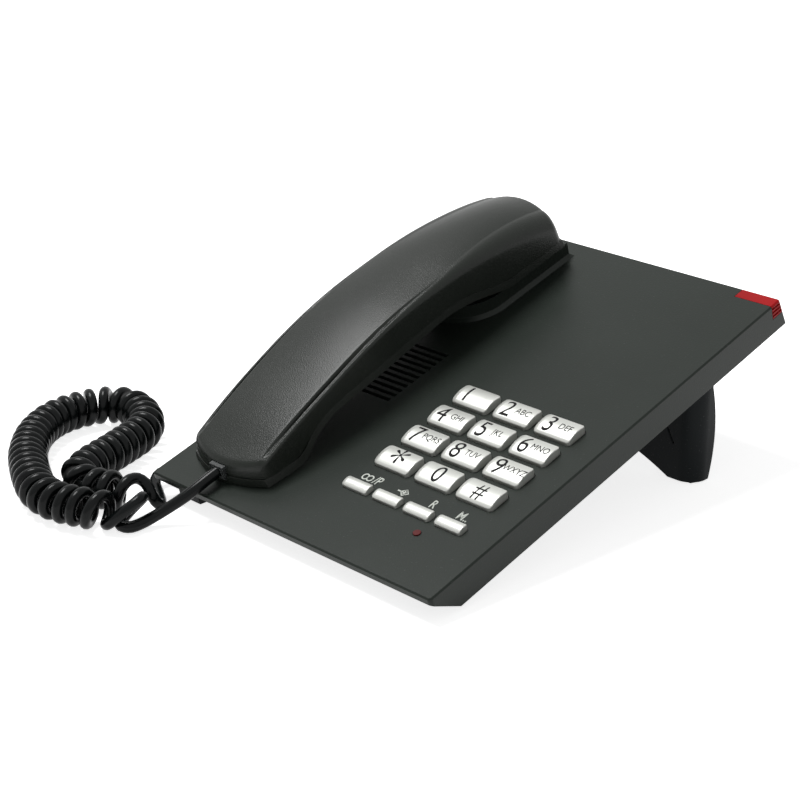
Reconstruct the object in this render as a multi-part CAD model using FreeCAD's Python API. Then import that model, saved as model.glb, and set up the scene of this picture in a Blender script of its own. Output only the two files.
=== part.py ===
import FreeCAD, Part
import bisect
import math
import os

V = FreeCAD.Vector

# Corded desk telephone, in millimetres.
# The housing, the keys and the handset are drawn in the slab frame: X to the right from the
# slab's middle, Y back from its front top edge, Z up from its top face.
# on_desk() leans that frame back by the desk angle and centres the telephone on its footprint.

# Slab
SLAB_WIDTH = 150.0
SLAB_LENGTH = 210.0
SLAB_THICKNESS = 12.5
DESK_ANGLE = 15.9
FRONT_EDGE_HEIGHT = 10.4
FRONT_LIP = 2.8
FRONT_CHAMFER_RUN = 13.0
REAR_FLARE = 2.8
SLAB_CORNER_RADIUS = 1.6
SLAB_TOP_BEVEL = 0.6
TOP_PLATE = 2.2
SIDE_WALL = 2.0
COVER_PLATE = 2.0
COVER_GAP = 0.2

# Dialling keys
KEY_WIDTH = 17.5
KEY_DEPTH = 10.7
KEY_PITCH_X = 20.86
KEY_PITCH_Y = 14.87
KEYPAD_LEFT = 2.4
KEYPAD_FRONT = 47.2
KEY_HEIGHT = 3.1
KEY_COLUMNS = 3
DIAL_KEYS = ("star", "0", "hash", "7", "8", "9", "4", "5", "6", "1", "2", "3")

# Function keys
FUNCTION_KEY_WIDTH = 12.57
FUNCTION_KEY_DEPTH = 4.9
FUNCTION_KEY_PITCH = 15.73
FUNCTION_KEY_LEFT = 0.9
FUNCTION_KEY_FRONT = 31.3
FUNCTION_KEY_HEIGHT = 2.2
FUNCTION_KEYS = ("redial", "program", "recall", "memory")

# What every key shares
KEY_TRAVEL = 1.2
KEY_CLEARANCE = 0.3
KEY_CORNER_CUT = 1.0
KEY_CROWN = 0.5
KEY_FLANGE = 1.0
KEY_FLANGE_THICKNESS = 1.2
KEY_STOP_GAP = 0.1
KEY_POST_SIZE = 3.6
KEY_POST_SLIDE = 0.3
KEY_POST_DIP = 0.5

# Rubber mat and circuit board
MAT_THICKNESS = 1.0
MAT_MARGIN = 3.2
COLLAR_WALL = 0.9
BOARD_THICKNESS = 1.6
BOARD_MARGIN = 5.0
BOARD_BACK = 118.0
BOARD_POST_SIZE = 3.6

# Small lamp in front of the keys
INDICATOR_X = 45.8
INDICATOR_Y = 24.9
INDICATOR_RADIUS = 1.5
INDICATOR_CLEARANCE = 0.15
INDICATOR_PROUD = 0.4

# Ring lamp lens in the rear right corner
LENS_WIDTH = 18.0
LENS_DEPTH = 6.3
LENS_FRONT = SLAB_LENGTH - LENS_DEPTH
LENS_DROP = 6.1
LENS_GAP = 0.15
LENS_RIBS = 3
LENS_RIB_DEPTH = 0.5
RING_LED_SIZE = 3.4
RING_LED_HEIGHT = 4.0

# Handset place and ear cup
HANDSET_INSET = 30.0
HANDSET_X = HANDSET_INSET - SLAB_WIDTH / 2
CUP_CLEARANCE = 2.6
CUP_CENTRE_Y = 155.0
CUP_REAR_Y = 199.5
CUP_HEIGHT = 7.0
CUP_WALL = 1.8
CUP_FLARE = 1.6

# Ringer grille and speaker, under the handset
GRILLE_SLOTS = 11
GRILLE_PITCH = 3.45
GRILLE_SLOT = 1.7
GRILLE_LENGTH = 46.0
GRILLE_CENTRE_Y = 99.0
RINGER_RADIUS = 19.0
RINGER_DEPTH = 5.5
RINGER_LUG = 3.0
RINGER_CLEARANCE = 0.2
RINGER_RIM_DEPTH = 2.2
MAGNET_RADIUS = 9.0

# Hook plunger, its spring and switch, inside the ear cup
HOOK_Y = 166.0
HOOK_WIDTH = 9.0
HOOK_DEPTH = 5.0
HOOK_CLEARANCE = 0.3
HOOK_RISE = 3.0
HOOK_FLANGE = 1.6
HOOK_FLANGE_THICKNESS = 1.0
HOOK_GAP = 0.3
SWITCH_WIDTH = 15.0
SWITCH_DEPTH = 9.0
SWITCH_HEIGHT = 1.4
SPRING_WIRE = 0.4
SPRING_RADIUS = 2.0
SPRING_TURNS = 3
SPRING_SEAT = 0.1

# Handset, drawn along Y beside its own middle line
HANDSET_FRONT = 10.5
HANDSET_REAR = 199.5
HANDSET_LOW_HALF = 21.7
HANDSET_WALL = 2.0
HANDSET_REST_GAP = 0.2
MOUTH_PAD_END = 34.5
EAR_PAD_START = 158.5
UNDERSIDE_ARCH = ((49.5, 9.9), (128.0, 16.2))
UNDERSIDE_RADII = (12.0, 35.0, 80.0, 20.0)
EAR_REST_HEIGHT = 8.3
LOWER_SHELL_HEIGHT = 3.3
FRONT_ROUND_RADIUS = 37.0
FRONT_LEAN = 24.0
REAR_ROUND_RADIUS = 45.0
REAR_LEAN = 11.0
HANDSET_CORNER_STEPS = 3
HANDSET_CROWN_STEPS = 3
EAR_CAP_RADIUS = 15.2
EAR_CAP_Y = 177.0
EAR_CAP_DEPTH = 4.6
EAR_SLOTS = 5
EAR_SLOT = 1.2
EAR_SLOT_LENGTH = 10.0
EAR_SLOT_PITCH = 2.8
MOUTH_Y = 25.5
MOUTH_SLOTS = 3
MOUTH_SLOT = 1.2
MOUTH_SLOT_LENGTH = 9.0
MOUTH_SLOT_PITCH = 3.0
RECEIVER_RADIUS = 13.0
RECEIVER_DEPTH = 7.0
MICROPHONE_RADIUS = 4.85
MICROPHONE_DEPTH = 4.5
CAPSULE_GAP = 0.2
WEIGHT_SIZE = (16.0, 38.0, 5.0)
WEIGHT_Y = 104.0
HANDSET_SCREW_Y = 62.0

# Modular plugs and their sockets
PLUG_WIDTH = 7.65
PLUG_HEIGHT = 6.0
PLUG_LENGTH = 11.7
PLUG_CLEARANCE = 0.15
PLUG_LATCH = (3.2, 8.5, 0.8)
SOCKET_DEPTH = 8.0
# The plug's tail reaches past the lifted handset's front edge, so that the cord stays clear of it.
HANDSET_SOCKET_DEPTH = 6.4
SOCKET_WALL = 1.3
GLAND_CLEARANCE = 0.15
GLAND_SEAT = 2.0
HANDSET_SOCKET_X = HANDSET_X
HANDSET_SOCKET_Z = 4.4
HANDSET_CRADLE_DEPTH = 3.2
HANDSET_CRADLE_RISE = 2.6
BASE_SOCKET_Y = 9.7
BASE_SOCKET_Z = -7.2
BASE_SOCKET_INSET = 9.0
BASE_SOCKET_MOUTH_X = BASE_SOCKET_INSET - SLAB_WIDTH / 2
BASE_SOCKET_BODY = 12.0
BASE_SOCKET_FLOOR = 0.9
CORD_NOTCH_FRONT = 3.0

# Line socket in the rear wall
LINE_SOCKET_X = -20.0
LINE_SOCKET_WIDTH = 9.8
LINE_SOCKET_HEIGHT = 6.6
LINE_SOCKET_DEPTH = 9.0
LINE_LATCH_DEPTH = 0.5
LINE_BODY_WIDTH = 13.0
LINE_BODY_DEPTH = 13.0

# Screws
BOSS_RADIUS = 3.0
SCREW_RADIUS = 1.3
SCREW_HEAD_RADIUS = 2.6
SCREW_HEAD_HEIGHT = 1.2
SCREW_CLEARANCE = 0.2
SCREW_RECESS = 0.1
SCREW_THREAD_GAP = 0.03
REAR_BOSS_INSET = 5.8
REAR_BOSS_X = SLAB_WIDTH / 2 - REAR_BOSS_INSET
REAR_BOSS_SETBACK = 22.0
REAR_BOSS_Y = SLAB_LENGTH - REAR_BOSS_SETBACK
FRONT_BOSS = (-14.0, 26.0)

# Desk stand: an arched apron with two feet, drawn upright on the desk
STAND_FRONT = 154.4
STAND_REAR = 167.3
STAND_HALF_WIDTH = 72.0
STAND_CORNER_RADIUS = 8.0
STAND_WALL = 2.6
STAND_WEB = 2.0
STAND_FOOT_WIDTH = 11.0
STAND_ARCH_HEIGHT = 15.0
STAND_SOLE = 2.4
STAND_SOLE_LIFT = 0.6
STAND_SLIT_WIDTH = 0.8
STAND_SLIT_FOOT = (61.2, 15.9)
STAND_SLIT_LEAN = 28.4
STAND_TAB_X = 24.0
STAND_TAB_WIDTH = 11.0
STAND_TAB_THICKNESS = 2.2
STAND_TAB_HEIGHT = 3.4
STAND_TAB_CLEARANCE = 0.2

# Rubber feet
FOOT_RADIUS = 4.5
FRONT_FOOT_INSET = 17.0
FRONT_FOOT_X = SLAB_WIDTH / 2 - FRONT_FOOT_INSET
FRONT_FOOT_Y = 22.0
REAR_PAD_WIDTH = 6.0
REAR_PAD_DEPTH = 0.8

# Curly cord
CORD_WIRE = 4.4
CURL_DIAMETER = 16.0
CURL_GAP = 0.65
CURL_LIFT = 0.25
CORD_SIDES = 5
CURL_STEPS = 12
BEND_STEP = 24.0
# The curls beside either lead are pulled apart: how much further than the others the very first
# and the very last advance, and the length of cord over which that dies away.
FIRST_CURL_PULL = (0.6, 9.0)
LAST_CURL_PULL = (1.8, 9.0)
# The first curl's top leans back over the lead, by so much, over that length of the curls.
FIRST_CURL_LEAN = (4.0, 9.0)
# The curl's middle line as it lies on the desk, from the handset's end to the base's end,
# in X from the slab's middle and Y from its front top edge.
CURL_LINE = (
    (-63.6, -31.8), (-67.4, -33.8), (-72.0, -35.8), (-83.4, -39.4), (-95.4, -38.7), (-106.0, -34.3),
    (-117.1, -28.2), (-128.2, -20.7), (-139.0, -10.6), (-146.2, -0.3), (-150.3, 11.0), (-150.0, 23.0),
    (-146.0, 32.9), (-138.0, 38.0), (-128.7, 37.1), (-118.5, 31.5), (-111.5, 23.0), (-107.2, 11.0),
    (-104.0, 0.5), (-101.2, -9.5), (-96.0, -19.0), (-88.8, -22.4), (-81.4, -20.9), (-75.5, -18.2),
    (-69.0, -14.9),
)


def desk_depth():
    lean = math.radians(DESK_ANGLE)
    return (SLAB_LENGTH + REAR_FLARE) * math.cos(lean) + SLAB_THICKNESS * math.sin(lean)


def on_desk(shape):
    """Lean a shape of the slab frame back and set it on the desk."""
    placed = shape.copy()
    placed.rotate(V(0, 0, 0), V(1, 0, 0), DESK_ANGLE)
    placed.translate(V(0, -desk_depth() / 2, FRONT_EDGE_HEIGHT))
    return placed


def upright(shape):
    """Set a shape that is drawn upright, with Y from the front top edge, on the desk."""
    placed = shape.copy()
    placed.translate(V(0, -desk_depth() / 2, 0))
    return placed


def desk_point(point):
    """Where a point of the slab frame is above the desk, with Y from the front top edge."""
    lean = math.radians(DESK_ANGLE)
    y = point.y * math.cos(lean) - point.z * math.sin(lean)
    z = point.y * math.sin(lean) + point.z * math.cos(lean) + FRONT_EDGE_HEIGHT
    return V(point.x, y, z)


def leaned_back(shape):
    """Lean a shape that is drawn upright on the desk into the slab frame."""
    placed = shape.copy()
    placed.translate(V(0, 0, -FRONT_EDGE_HEIGHT))
    placed.rotate(V(0, 0, 0), V(1, 0, 0), -DESK_ANGLE)
    return placed


def block(x0, x1, y0, y1, z0, z1):
    return Part.makeBox(x1 - x0, y1 - y0, z1 - z0, V(x0, y0, z0))


def rod(radius, x, y, z0, z1):
    return Part.makeCylinder(radius, z1 - z0, V(x, y, z0))


def side_prism(outline, x0, x1):
    """A prism along X whose outline is a list of (y, z) corners."""
    corners = [V(x0, y, z) for y, z in outline]
    face = Part.Face(Part.makePolygon(corners + corners[:1]))
    return face.extrude(V(x1 - x0, 0, 0))


def cut_corner_block(x0, x1, y0, y1, z0, z1, cut):
    """A block whose four upright corners are cut off."""
    corners = [
        V(x0 + cut, y0, z0), V(x1 - cut, y0, z0), V(x1, y0 + cut, z0), V(x1, y1 - cut, z0),
        V(x1 - cut, y1, z0), V(x0 + cut, y1, z0), V(x0, y1 - cut, z0), V(x0, y0 + cut, z0),
    ]
    return Part.Face(Part.makePolygon(corners + corners[:1])).extrude(V(0, 0, z1 - z0))


def square_post(size, x, y, z0, z1):
    return block(x - size / 2, x + size / 2, y - size / 2, y + size / 2, z0, z1)


def save(name, shape):
    shape.exportStep("parts/" + name + ".step")


# Housing


def slab_outline():
    return [
        (0, 0), (SLAB_LENGTH, 0), (SLAB_LENGTH + REAR_FLARE, -SLAB_THICKNESS),
        (FRONT_CHAMFER_RUN, -SLAB_THICKNESS), (0, -FRONT_LIP),
    ]


def underside_depth(y):
    """How far below the top face the slab's underside lies at y."""
    run = min(y / FRONT_CHAMFER_RUN, 1.0)
    return FRONT_LIP + (SLAB_THICKNESS - FRONT_LIP) * run


def rear_face_y(z):
    """Where the leaning rear face is at a height z below the top face."""
    return SLAB_LENGTH - REAR_FLARE * z / SLAB_THICKNESS


def slab_solid():
    half = SLAB_WIDTH / 2
    solid = side_prism(slab_outline(), -half, half)
    corners = []
    for edge in solid.Edges:
        low, high = edge.Vertexes[0].Point, edge.Vertexes[-1].Point
        if abs(low.z - high.z) > 1 and abs(low.x - high.x) < 0.01 and abs(low.y - high.y) < REAR_FLARE + 0.1:
            corners.append(edge)
    solid = solid.makeFillet(SLAB_CORNER_RADIUS, corners)
    rim = [edge for edge in solid.Edges if abs(edge.BoundBox.ZMax) < 0.01 and edge.BoundBox.ZLength < 0.01]
    return solid.makeChamfer(SLAB_TOP_BEVEL, rim)


def slab_hollow():
    inner = SLAB_WIDTH / 2 - SIDE_WALL
    outline = [
        (CORD_NOTCH_FRONT, -TOP_PLATE), (rear_face_y(-TOP_PLATE) - SIDE_WALL, -TOP_PLATE),
        (rear_face_y(-SLAB_THICKNESS) - SIDE_WALL, -SLAB_THICKNESS),
        (CORD_NOTCH_FRONT, -SLAB_THICKNESS),
    ]
    hollow = side_prism(outline, -inner, inner)
    return hollow.fuse(block(-inner, inner, CORD_NOTCH_FRONT, SLAB_LENGTH, -2 * SLAB_THICKNESS, -SLAB_THICKNESS))


def cup_outline(offset, z):
    """The ear cup's D outline, grown by an offset, as a wire at height z."""
    half = EAR_CAP_RADIUS + CUP_CLEARANCE + CUP_WALL + offset
    rear = CUP_REAR_Y + offset
    left, right = HANDSET_X - half, HANDSET_X + half
    edges = [
        Part.Arc(V(left, CUP_CENTRE_Y, z), V(HANDSET_X, CUP_CENTRE_Y - half, z), V(right, CUP_CENTRE_Y, z)),
        Part.LineSegment(V(right, CUP_CENTRE_Y, z), V(right, rear, z)),
        Part.LineSegment(V(right, rear, z), V(left, rear, z)),
        Part.LineSegment(V(left, rear, z), V(left, CUP_CENTRE_Y, z)),
    ]
    return Part.Wire([edge.toShape() for edge in edges])


def cup_wall():
    """The raised wall round the handset's ear end, with a small flare at its foot."""
    root = -TOP_PLATE / 2
    wall = Part.Face(cup_outline(0, root)).extrude(V(0, 0, CUP_HEIGHT - root))
    flare = Part.makeLoft([cup_outline(CUP_FLARE, 0), cup_outline(0, CUP_FLARE)], True, True)
    hollow = Part.Face(cup_outline(-CUP_WALL, 0)).extrude(V(0, 0, CUP_HEIGHT + 1))
    return wall.fuse(flare).cut(hollow)


def grille_slots():
    first = GRILLE_CENTRE_Y - GRILLE_PITCH * (GRILLE_SLOTS - 1) / 2
    slots = []
    for number in range(GRILLE_SLOTS):
        middle = first + number * GRILLE_PITCH
        slots.append(block(
            HANDSET_X - GRILLE_LENGTH / 2, HANDSET_X + GRILLE_LENGTH / 2,
            middle - GRILLE_SLOT / 2, middle + GRILLE_SLOT / 2, -2 * TOP_PLATE, TOP_PLATE))
    return slots


def key_places():
    """Name, left, front, width, depth and height of every key."""
    places = []
    for number, label in enumerate(DIAL_KEYS):
        left = KEYPAD_LEFT + (number % KEY_COLUMNS) * KEY_PITCH_X
        front = KEYPAD_FRONT + (number // KEY_COLUMNS) * KEY_PITCH_Y
        places.append(("key_" + label, left, front, KEY_WIDTH, KEY_DEPTH, KEY_HEIGHT))
    for number, label in enumerate(FUNCTION_KEYS):
        left = FUNCTION_KEY_LEFT + number * FUNCTION_KEY_PITCH
        places.append(("key_" + label, left, FUNCTION_KEY_FRONT, FUNCTION_KEY_WIDTH,
                       FUNCTION_KEY_DEPTH, FUNCTION_KEY_HEIGHT))
    return places


def key_openings():
    openings = []
    for _, left, front, width, depth, _ in key_places():
        openings.append(cut_corner_block(
            left - KEY_CLEARANCE, left + width + KEY_CLEARANCE,
            front - KEY_CLEARANCE, front + depth + KEY_CLEARANCE,
            -2 * TOP_PLATE, TOP_PLATE, KEY_CORNER_CUT + KEY_CLEARANCE * 0.6))
    return openings


def lens_region(gap):
    """The corner block that the lens takes out of the housing, drawn in by a gap."""
    half = SLAB_WIDTH / 2
    return block(half - LENS_WIDTH + gap, half + 1, LENS_FRONT + gap,
                 SLAB_LENGTH + 2 * REAR_FLARE, -LENS_DROP + gap, 1)


def board_left():
    return KEYPAD_LEFT - BOARD_MARGIN


def board_right():
    return KEYPAD_LEFT + (KEY_COLUMNS - 1) * KEY_PITCH_X + KEY_WIDTH + BOARD_MARGIN - MAT_MARGIN / 2


def board_front():
    return INDICATOR_Y - BOARD_MARGIN


def mat_top_z():
    """The mat's upper face, just below a fully pressed key's post."""
    return -(TOP_PLATE + KEY_STOP_GAP + KEY_FLANGE_THICKNESS + KEY_TRAVEL + KEY_POST_SLIDE
             + KEY_POST_DIP + KEY_TRAVEL + KEY_POST_SLIDE)


def board_top_z():
    return mat_top_z() - MAT_THICKNESS


def board_post_places():
    inset = BOARD_POST_SIZE / 2
    return [(x, y) for x in (board_left() + inset, board_right() - inset)
            for y in (board_front() + inset, BOARD_BACK - inset)]


def cover_top_z():
    return -SLAB_THICKNESS + COVER_PLATE


def boss_places():
    return [(-REAR_BOSS_X, REAR_BOSS_Y), (REAR_BOSS_X, REAR_BOSS_Y), FRONT_BOSS]


def housing_posts():
    """Screw bosses, board posts and the four lugs that hold the speaker, under the top plate."""
    posts = []
    for x, y in boss_places():
        posts.append(rod(BOSS_RADIUS, x, y, cover_top_z(), -TOP_PLATE / 2))
    for x, y in board_post_places():
        posts.append(square_post(BOARD_POST_SIZE, x, y, board_top_z(), -TOP_PLATE / 2))
    reach = RINGER_RADIUS + RINGER_CLEARANCE + RINGER_LUG / 2
    for x, y in ((-reach, 0), (reach, 0), (0, -reach), (0, reach)):
        posts.append(square_post(RINGER_LUG, HANDSET_X + x, GRILLE_CENTRE_Y + y,
                                 -TOP_PLATE - RINGER_DEPTH, -TOP_PLATE / 2))
    return posts


def boss_bores():
    return [rod(SCREW_RADIUS, x, y, cover_top_z() - 1, -TOP_PLATE) for x, y in boss_places()]


def cord_notch(gap):
    """The space under the front left corner where the cord goes up to its socket."""
    half = SLAB_WIDTH / 2
    return block(-half - 1, BASE_SOCKET_MOUTH_X + gap, CORD_NOTCH_FRONT, FRONT_CHAMFER_RUN + 3,
                 -2 * SLAB_THICKNESS, -TOP_PLATE)


def line_socket_z():
    return (cover_top_z() - TOP_PLATE) / 2


def line_socket_opening(gap):
    middle = line_socket_z()
    return block(LINE_SOCKET_X - LINE_SOCKET_WIDTH / 2 - gap, LINE_SOCKET_X + LINE_SOCKET_WIDTH / 2 + gap,
                 SLAB_LENGTH - SIDE_WALL - LINE_SOCKET_DEPTH, SLAB_LENGTH + 2 * REAR_FLARE,
                 middle - LINE_SOCKET_HEIGHT / 2 - gap, middle + LINE_SOCKET_HEIGHT / 2 + gap)


def hook_opening():
    half_x = HOOK_WIDTH / 2 + HOOK_CLEARANCE
    half_y = HOOK_DEPTH / 2 + HOOK_CLEARANCE
    return block(HANDSET_X - half_x, HANDSET_X + half_x, HOOK_Y - half_y, HOOK_Y + half_y,
                 -2 * TOP_PLATE, TOP_PLATE)


def base_top_housing():
    shell = slab_solid().cut(slab_hollow())
    shell = shell.fuse([cup_wall()] + housing_posts())
    indicator_hole = rod(INDICATOR_RADIUS + INDICATOR_CLEARANCE, INDICATOR_X, INDICATOR_Y,
                         -2 * TOP_PLATE, TOP_PLATE)
    cuts = key_openings() + grille_slots() + boss_bores()
    cuts += [indicator_hole, lens_region(0), hook_opening(), cord_notch(0), line_socket_opening(0)]
    return shell.cut(cuts).removeSplitter()


def ring_lamp_lens():
    """The lens is the housing's own corner, cut loose, with ribs on its side face."""
    shell = slab_solid().cut(slab_hollow())
    lens = shell.common(lens_region(LENS_GAP))
    half = SLAB_WIDTH / 2
    step = (LENS_DROP - LENS_GAP - TOP_PLATE / 2) / (2 * LENS_RIBS)
    for number in range(LENS_RIBS):
        top = -TOP_PLATE / 2 - 2 * number * step
        lens = lens.cut(block(half - LENS_RIB_DEPTH, half + 1, LENS_FRONT - 1, SLAB_LENGTH,
                              top - step, top))
    return lens


def ring_lamp_led():
    """The lamp behind the lens stands on the cover and shines up into the corner."""
    x = SLAB_WIDTH / 2 - LENS_WIDTH / 2
    y = LENS_FRONT - RING_LED_SIZE / 2
    return square_post(RING_LED_SIZE, x, y, cover_top_z(), cover_top_z() + RING_LED_HEIGHT)


def base_bottom_cover():
    """The plate that closes the slab from below, following the sloping front."""
    inner = SLAB_WIDTH / 2 - SIDE_WALL - COVER_GAP
    front = CORD_NOTCH_FRONT + COVER_GAP
    rear_low = rear_face_y(-SLAB_THICKNESS) - SIDE_WALL - COVER_GAP
    rear_high = rear_face_y(cover_top_z()) - SIDE_WALL - COVER_GAP
    slope = (SLAB_THICKNESS - FRONT_LIP) / FRONT_CHAMFER_RUN
    outline = [
        (front, -underside_depth(front)), (FRONT_CHAMFER_RUN, -SLAB_THICKNESS),
        (rear_low, -SLAB_THICKNESS), (rear_high, cover_top_z()),
        (FRONT_CHAMFER_RUN + COVER_PLATE * slope / 2, cover_top_z()),
        (front, -underside_depth(front) + COVER_PLATE * math.hypot(1, slope)),
    ]
    cover = side_prism(outline, -inner, inner)
    for x, y in board_post_places():
        cover = cover.fuse(square_post(BOARD_POST_SIZE, x, y, cover_top_z() - COVER_PLATE / 2,
                                       board_top_z() - BOARD_THICKNESS))
    cuts = [cord_notch(0), base_socket_envelope(COVER_GAP)]
    for x, y in boss_places():
        cuts.append(rod(SCREW_RADIUS + SCREW_CLEARANCE, x, y, -SLAB_THICKNESS - 1, 0))
        cuts.append(rod(SCREW_HEAD_RADIUS + SCREW_CLEARANCE, x, y, -SLAB_THICKNESS - 1,
                        -SLAB_THICKNESS + SCREW_HEAD_HEIGHT))
    for side in (-1, 1):
        cuts.append(stand_tab(side, STAND_TAB_CLEARANCE))
    return cover.cut(cuts)


def screw(x, y, head_z, length):
    """A flush screw that points up from head_z."""
    head = rod(SCREW_HEAD_RADIUS, x, y, head_z, head_z + SCREW_HEAD_HEIGHT)
    shank = rod(SCREW_RADIUS - SCREW_THREAD_GAP, x, y, head_z + SCREW_HEAD_HEIGHT, head_z + length)
    return head.fuse(shank)


def housing_screws():
    length = SLAB_THICKNESS - TOP_PLATE - COVER_PLATE / 2
    return Part.makeCompound([screw(x, y, -SLAB_THICKNESS, length) for x, y in boss_places()])


# Keys, mat and board


def key_solid(left, front, width, depth, height):
    """A keycap with a barrel crown, the flange that stops it under the plate, and its post."""
    right, back = left + width, front + depth
    cap = cut_corner_block(left, right, front, back, -TOP_PLATE - KEY_STOP_GAP, height, KEY_CORNER_CUT)
    crown_radius = (depth * depth / 4 + KEY_CROWN * KEY_CROWN) / (2 * KEY_CROWN)
    middle = (front + back) / 2
    barrel = Part.makeCylinder(crown_radius, width + 2, V(left - 1, middle, height - crown_radius), V(1, 0, 0))
    cap = cap.common(barrel)
    low = -TOP_PLATE - KEY_STOP_GAP - KEY_FLANGE_THICKNESS
    flange = block(left - KEY_FLANGE, right + KEY_FLANGE, front - KEY_FLANGE, back + KEY_FLANGE,
                   low, -TOP_PLATE - KEY_STOP_GAP)
    post_end = low - KEY_TRAVEL - KEY_POST_SLIDE - KEY_POST_DIP
    post = square_post(KEY_POST_SIZE, (left + right) / 2, middle, post_end, low)
    return cap.fuse([flange, post]).removeSplitter()


def keypad_rubber_mat():
    """The rubber sheet under the keys, with a collar round every key's post."""
    sheet = block(KEYPAD_LEFT - MAT_MARGIN, board_right() - 1, FUNCTION_KEY_FRONT - MAT_MARGIN,
                  KEYPAD_FRONT + 3 * KEY_PITCH_Y + KEY_DEPTH + MAT_MARGIN,
                  board_top_z(), mat_top_z())
    collar_top = mat_top_z() + KEY_TRAVEL + KEY_POST_SLIDE + KEY_POST_DIP
    bore = KEY_POST_SIZE + 2 * KEY_POST_SLIDE
    collars = []
    for _, left, front, width, depth, _ in key_places():
        x, y = left + width / 2, front + depth / 2
        collar = square_post(bore + 2 * COLLAR_WALL, x, y, mat_top_z(), collar_top)
        collars.append(collar.cut(square_post(bore, x, y, mat_top_z(), collar_top + 1)))
    return sheet.fuse(collars)


def main_circuit_board():
    """The board lies between the housing's four posts and the cover's."""
    return block(board_left(), board_right(), board_front(), BOARD_BACK,
                 board_top_z() - BOARD_THICKNESS, board_top_z())


def indicator_led():
    """The lamp stands on the board and ends just proud of the plate."""
    return rod(INDICATOR_RADIUS, INDICATOR_X, INDICATOR_Y, board_top_z(), INDICATOR_PROUD)


# Ringer, hook and line socket


def ringer_speaker():
    """A small speaker facing the grille: its rim and the magnet behind it."""
    top = -TOP_PLATE - RINGER_CLEARANCE
    rim = rod(RINGER_RADIUS, HANDSET_X, GRILLE_CENTRE_Y, top - RINGER_RIM_DEPTH, top)
    magnet = rod(MAGNET_RADIUS, HANDSET_X, GRILLE_CENTRE_Y, top - RINGER_DEPTH, top - RINGER_RIM_DEPTH)
    return rim.fuse(magnet)


def ear_cap_low_z():
    return EAR_REST_HEIGHT - EAR_CAP_DEPTH


def hook_flange_top_z():
    return -TOP_PLATE - HOOK_RISE - KEY_STOP_GAP


def hook_plunger():
    """The button that the handset's ear cap holds down, shown pressed."""
    half_x, half_y = HOOK_WIDTH / 2, HOOK_DEPTH / 2
    top = ear_cap_low_z() - HOOK_GAP
    stem = block(HANDSET_X - half_x, HANDSET_X + half_x, HOOK_Y - half_y, HOOK_Y + half_y,
                 hook_flange_top_z(), top)
    edges = [edge for edge in stem.Edges if abs(edge.BoundBox.ZMin - top) < 0.01]
    stem = stem.makeFillet(0.8, edges)
    flange = block(HANDSET_X - half_x - HOOK_FLANGE, HANDSET_X + half_x + HOOK_FLANGE,
                   HOOK_Y - half_y - HOOK_FLANGE, HOOK_Y + half_y + HOOK_FLANGE,
                   hook_flange_top_z() - HOOK_FLANGE_THICKNESS, hook_flange_top_z())
    return stem.fuse(flange)


def hook_switch():
    """The flat switch under the plunger, with the stud that centres the spring."""
    seat = cover_top_z()
    body = block(HANDSET_X - SWITCH_WIDTH / 2, HANDSET_X + SWITCH_WIDTH / 2,
                 HOOK_Y - SWITCH_DEPTH / 2, HOOK_Y + SWITCH_DEPTH / 2, seat, seat + SWITCH_HEIGHT)
    stud = square_post(SPRING_RADIUS, HANDSET_X, HOOK_Y, seat, seat + SWITCH_HEIGHT + 1)
    return body.fuse(stud)


def hook_return_spring():
    low = cover_top_z() + SWITCH_HEIGHT + SPRING_SEAT + SPRING_WIRE / 2
    high = hook_flange_top_z() - HOOK_FLANGE_THICKNESS - SPRING_SEAT - SPRING_WIRE / 2
    steps = 10
    count = SPRING_TURNS * steps
    points = []
    for number in range(count + 1):
        angle = 2 * math.pi * number / steps
        points.append(V(HANDSET_X + SPRING_RADIUS * math.cos(angle), HOOK_Y + SPRING_RADIUS * math.sin(angle),
                        low + (high - low) * number / count))
    return mitred_tube(points, SPRING_WIRE, 4)


def line_jack():
    """The line socket's body behind the opening in the rear wall."""
    middle = line_socket_z()
    body = block(LINE_SOCKET_X - LINE_BODY_WIDTH / 2, LINE_SOCKET_X + LINE_BODY_WIDTH / 2,
                 SLAB_LENGTH - SIDE_WALL - LINE_BODY_DEPTH, SLAB_LENGTH - SIDE_WALL - COVER_GAP,
                 cover_top_z(), -TOP_PLATE)
    latch = block(LINE_SOCKET_X - 2, LINE_SOCKET_X + 2, SLAB_LENGTH - SIDE_WALL - LINE_SOCKET_DEPTH,
                  SLAB_LENGTH, middle - LINE_SOCKET_HEIGHT / 2 - LINE_LATCH_DEPTH, middle)
    return body.cut([line_socket_opening(0), latch])


# Handset


def underside_curve(lift):
    """The handset's lower edge seen from the side, raised by lift, as edges from front to rear."""
    low = HANDSET_REST_GAP + lift
    ear = EAR_REST_HEIGHT + lift
    corners = [V(0, HANDSET_FRONT - 12, low), V(0, MOUTH_PAD_END, low)]
    corners += [V(0, y, height + lift) for y, height in UNDERSIDE_ARCH]
    corners += [V(0, EAR_PAD_START, ear), V(0, HANDSET_REAR + 12, ear)]
    edges = []
    last = corners[0]
    for before, here, after, radius in zip(corners, corners[1:], corners[2:], UNDERSIDE_RADII):
        start, middle, end = corner_arc(before, here, after, radius)
        edges.append(Part.LineSegment(last, start).toShape())
        edges.append(Part.Arc(start, middle, end).toShape())
        last = end
    edges.append(Part.LineSegment(last, corners[-1]).toShape())
    return edges


def corner_arc(before, here, after, radius):
    """Start, middle and end of the arc that rounds the corner at here."""
    arriving = here - before
    leaving = after - here
    arriving.normalize()
    leaving.normalize()
    turn = arriving.getAngle(leaving)
    reach = radius * math.tan(turn / 2)
    inward = leaving - arriving
    inward.normalize()
    centre = here + inward * (radius / math.cos(turn / 2))
    return here - arriving * reach, centre - inward * radius, here + leaving * reach


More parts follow.
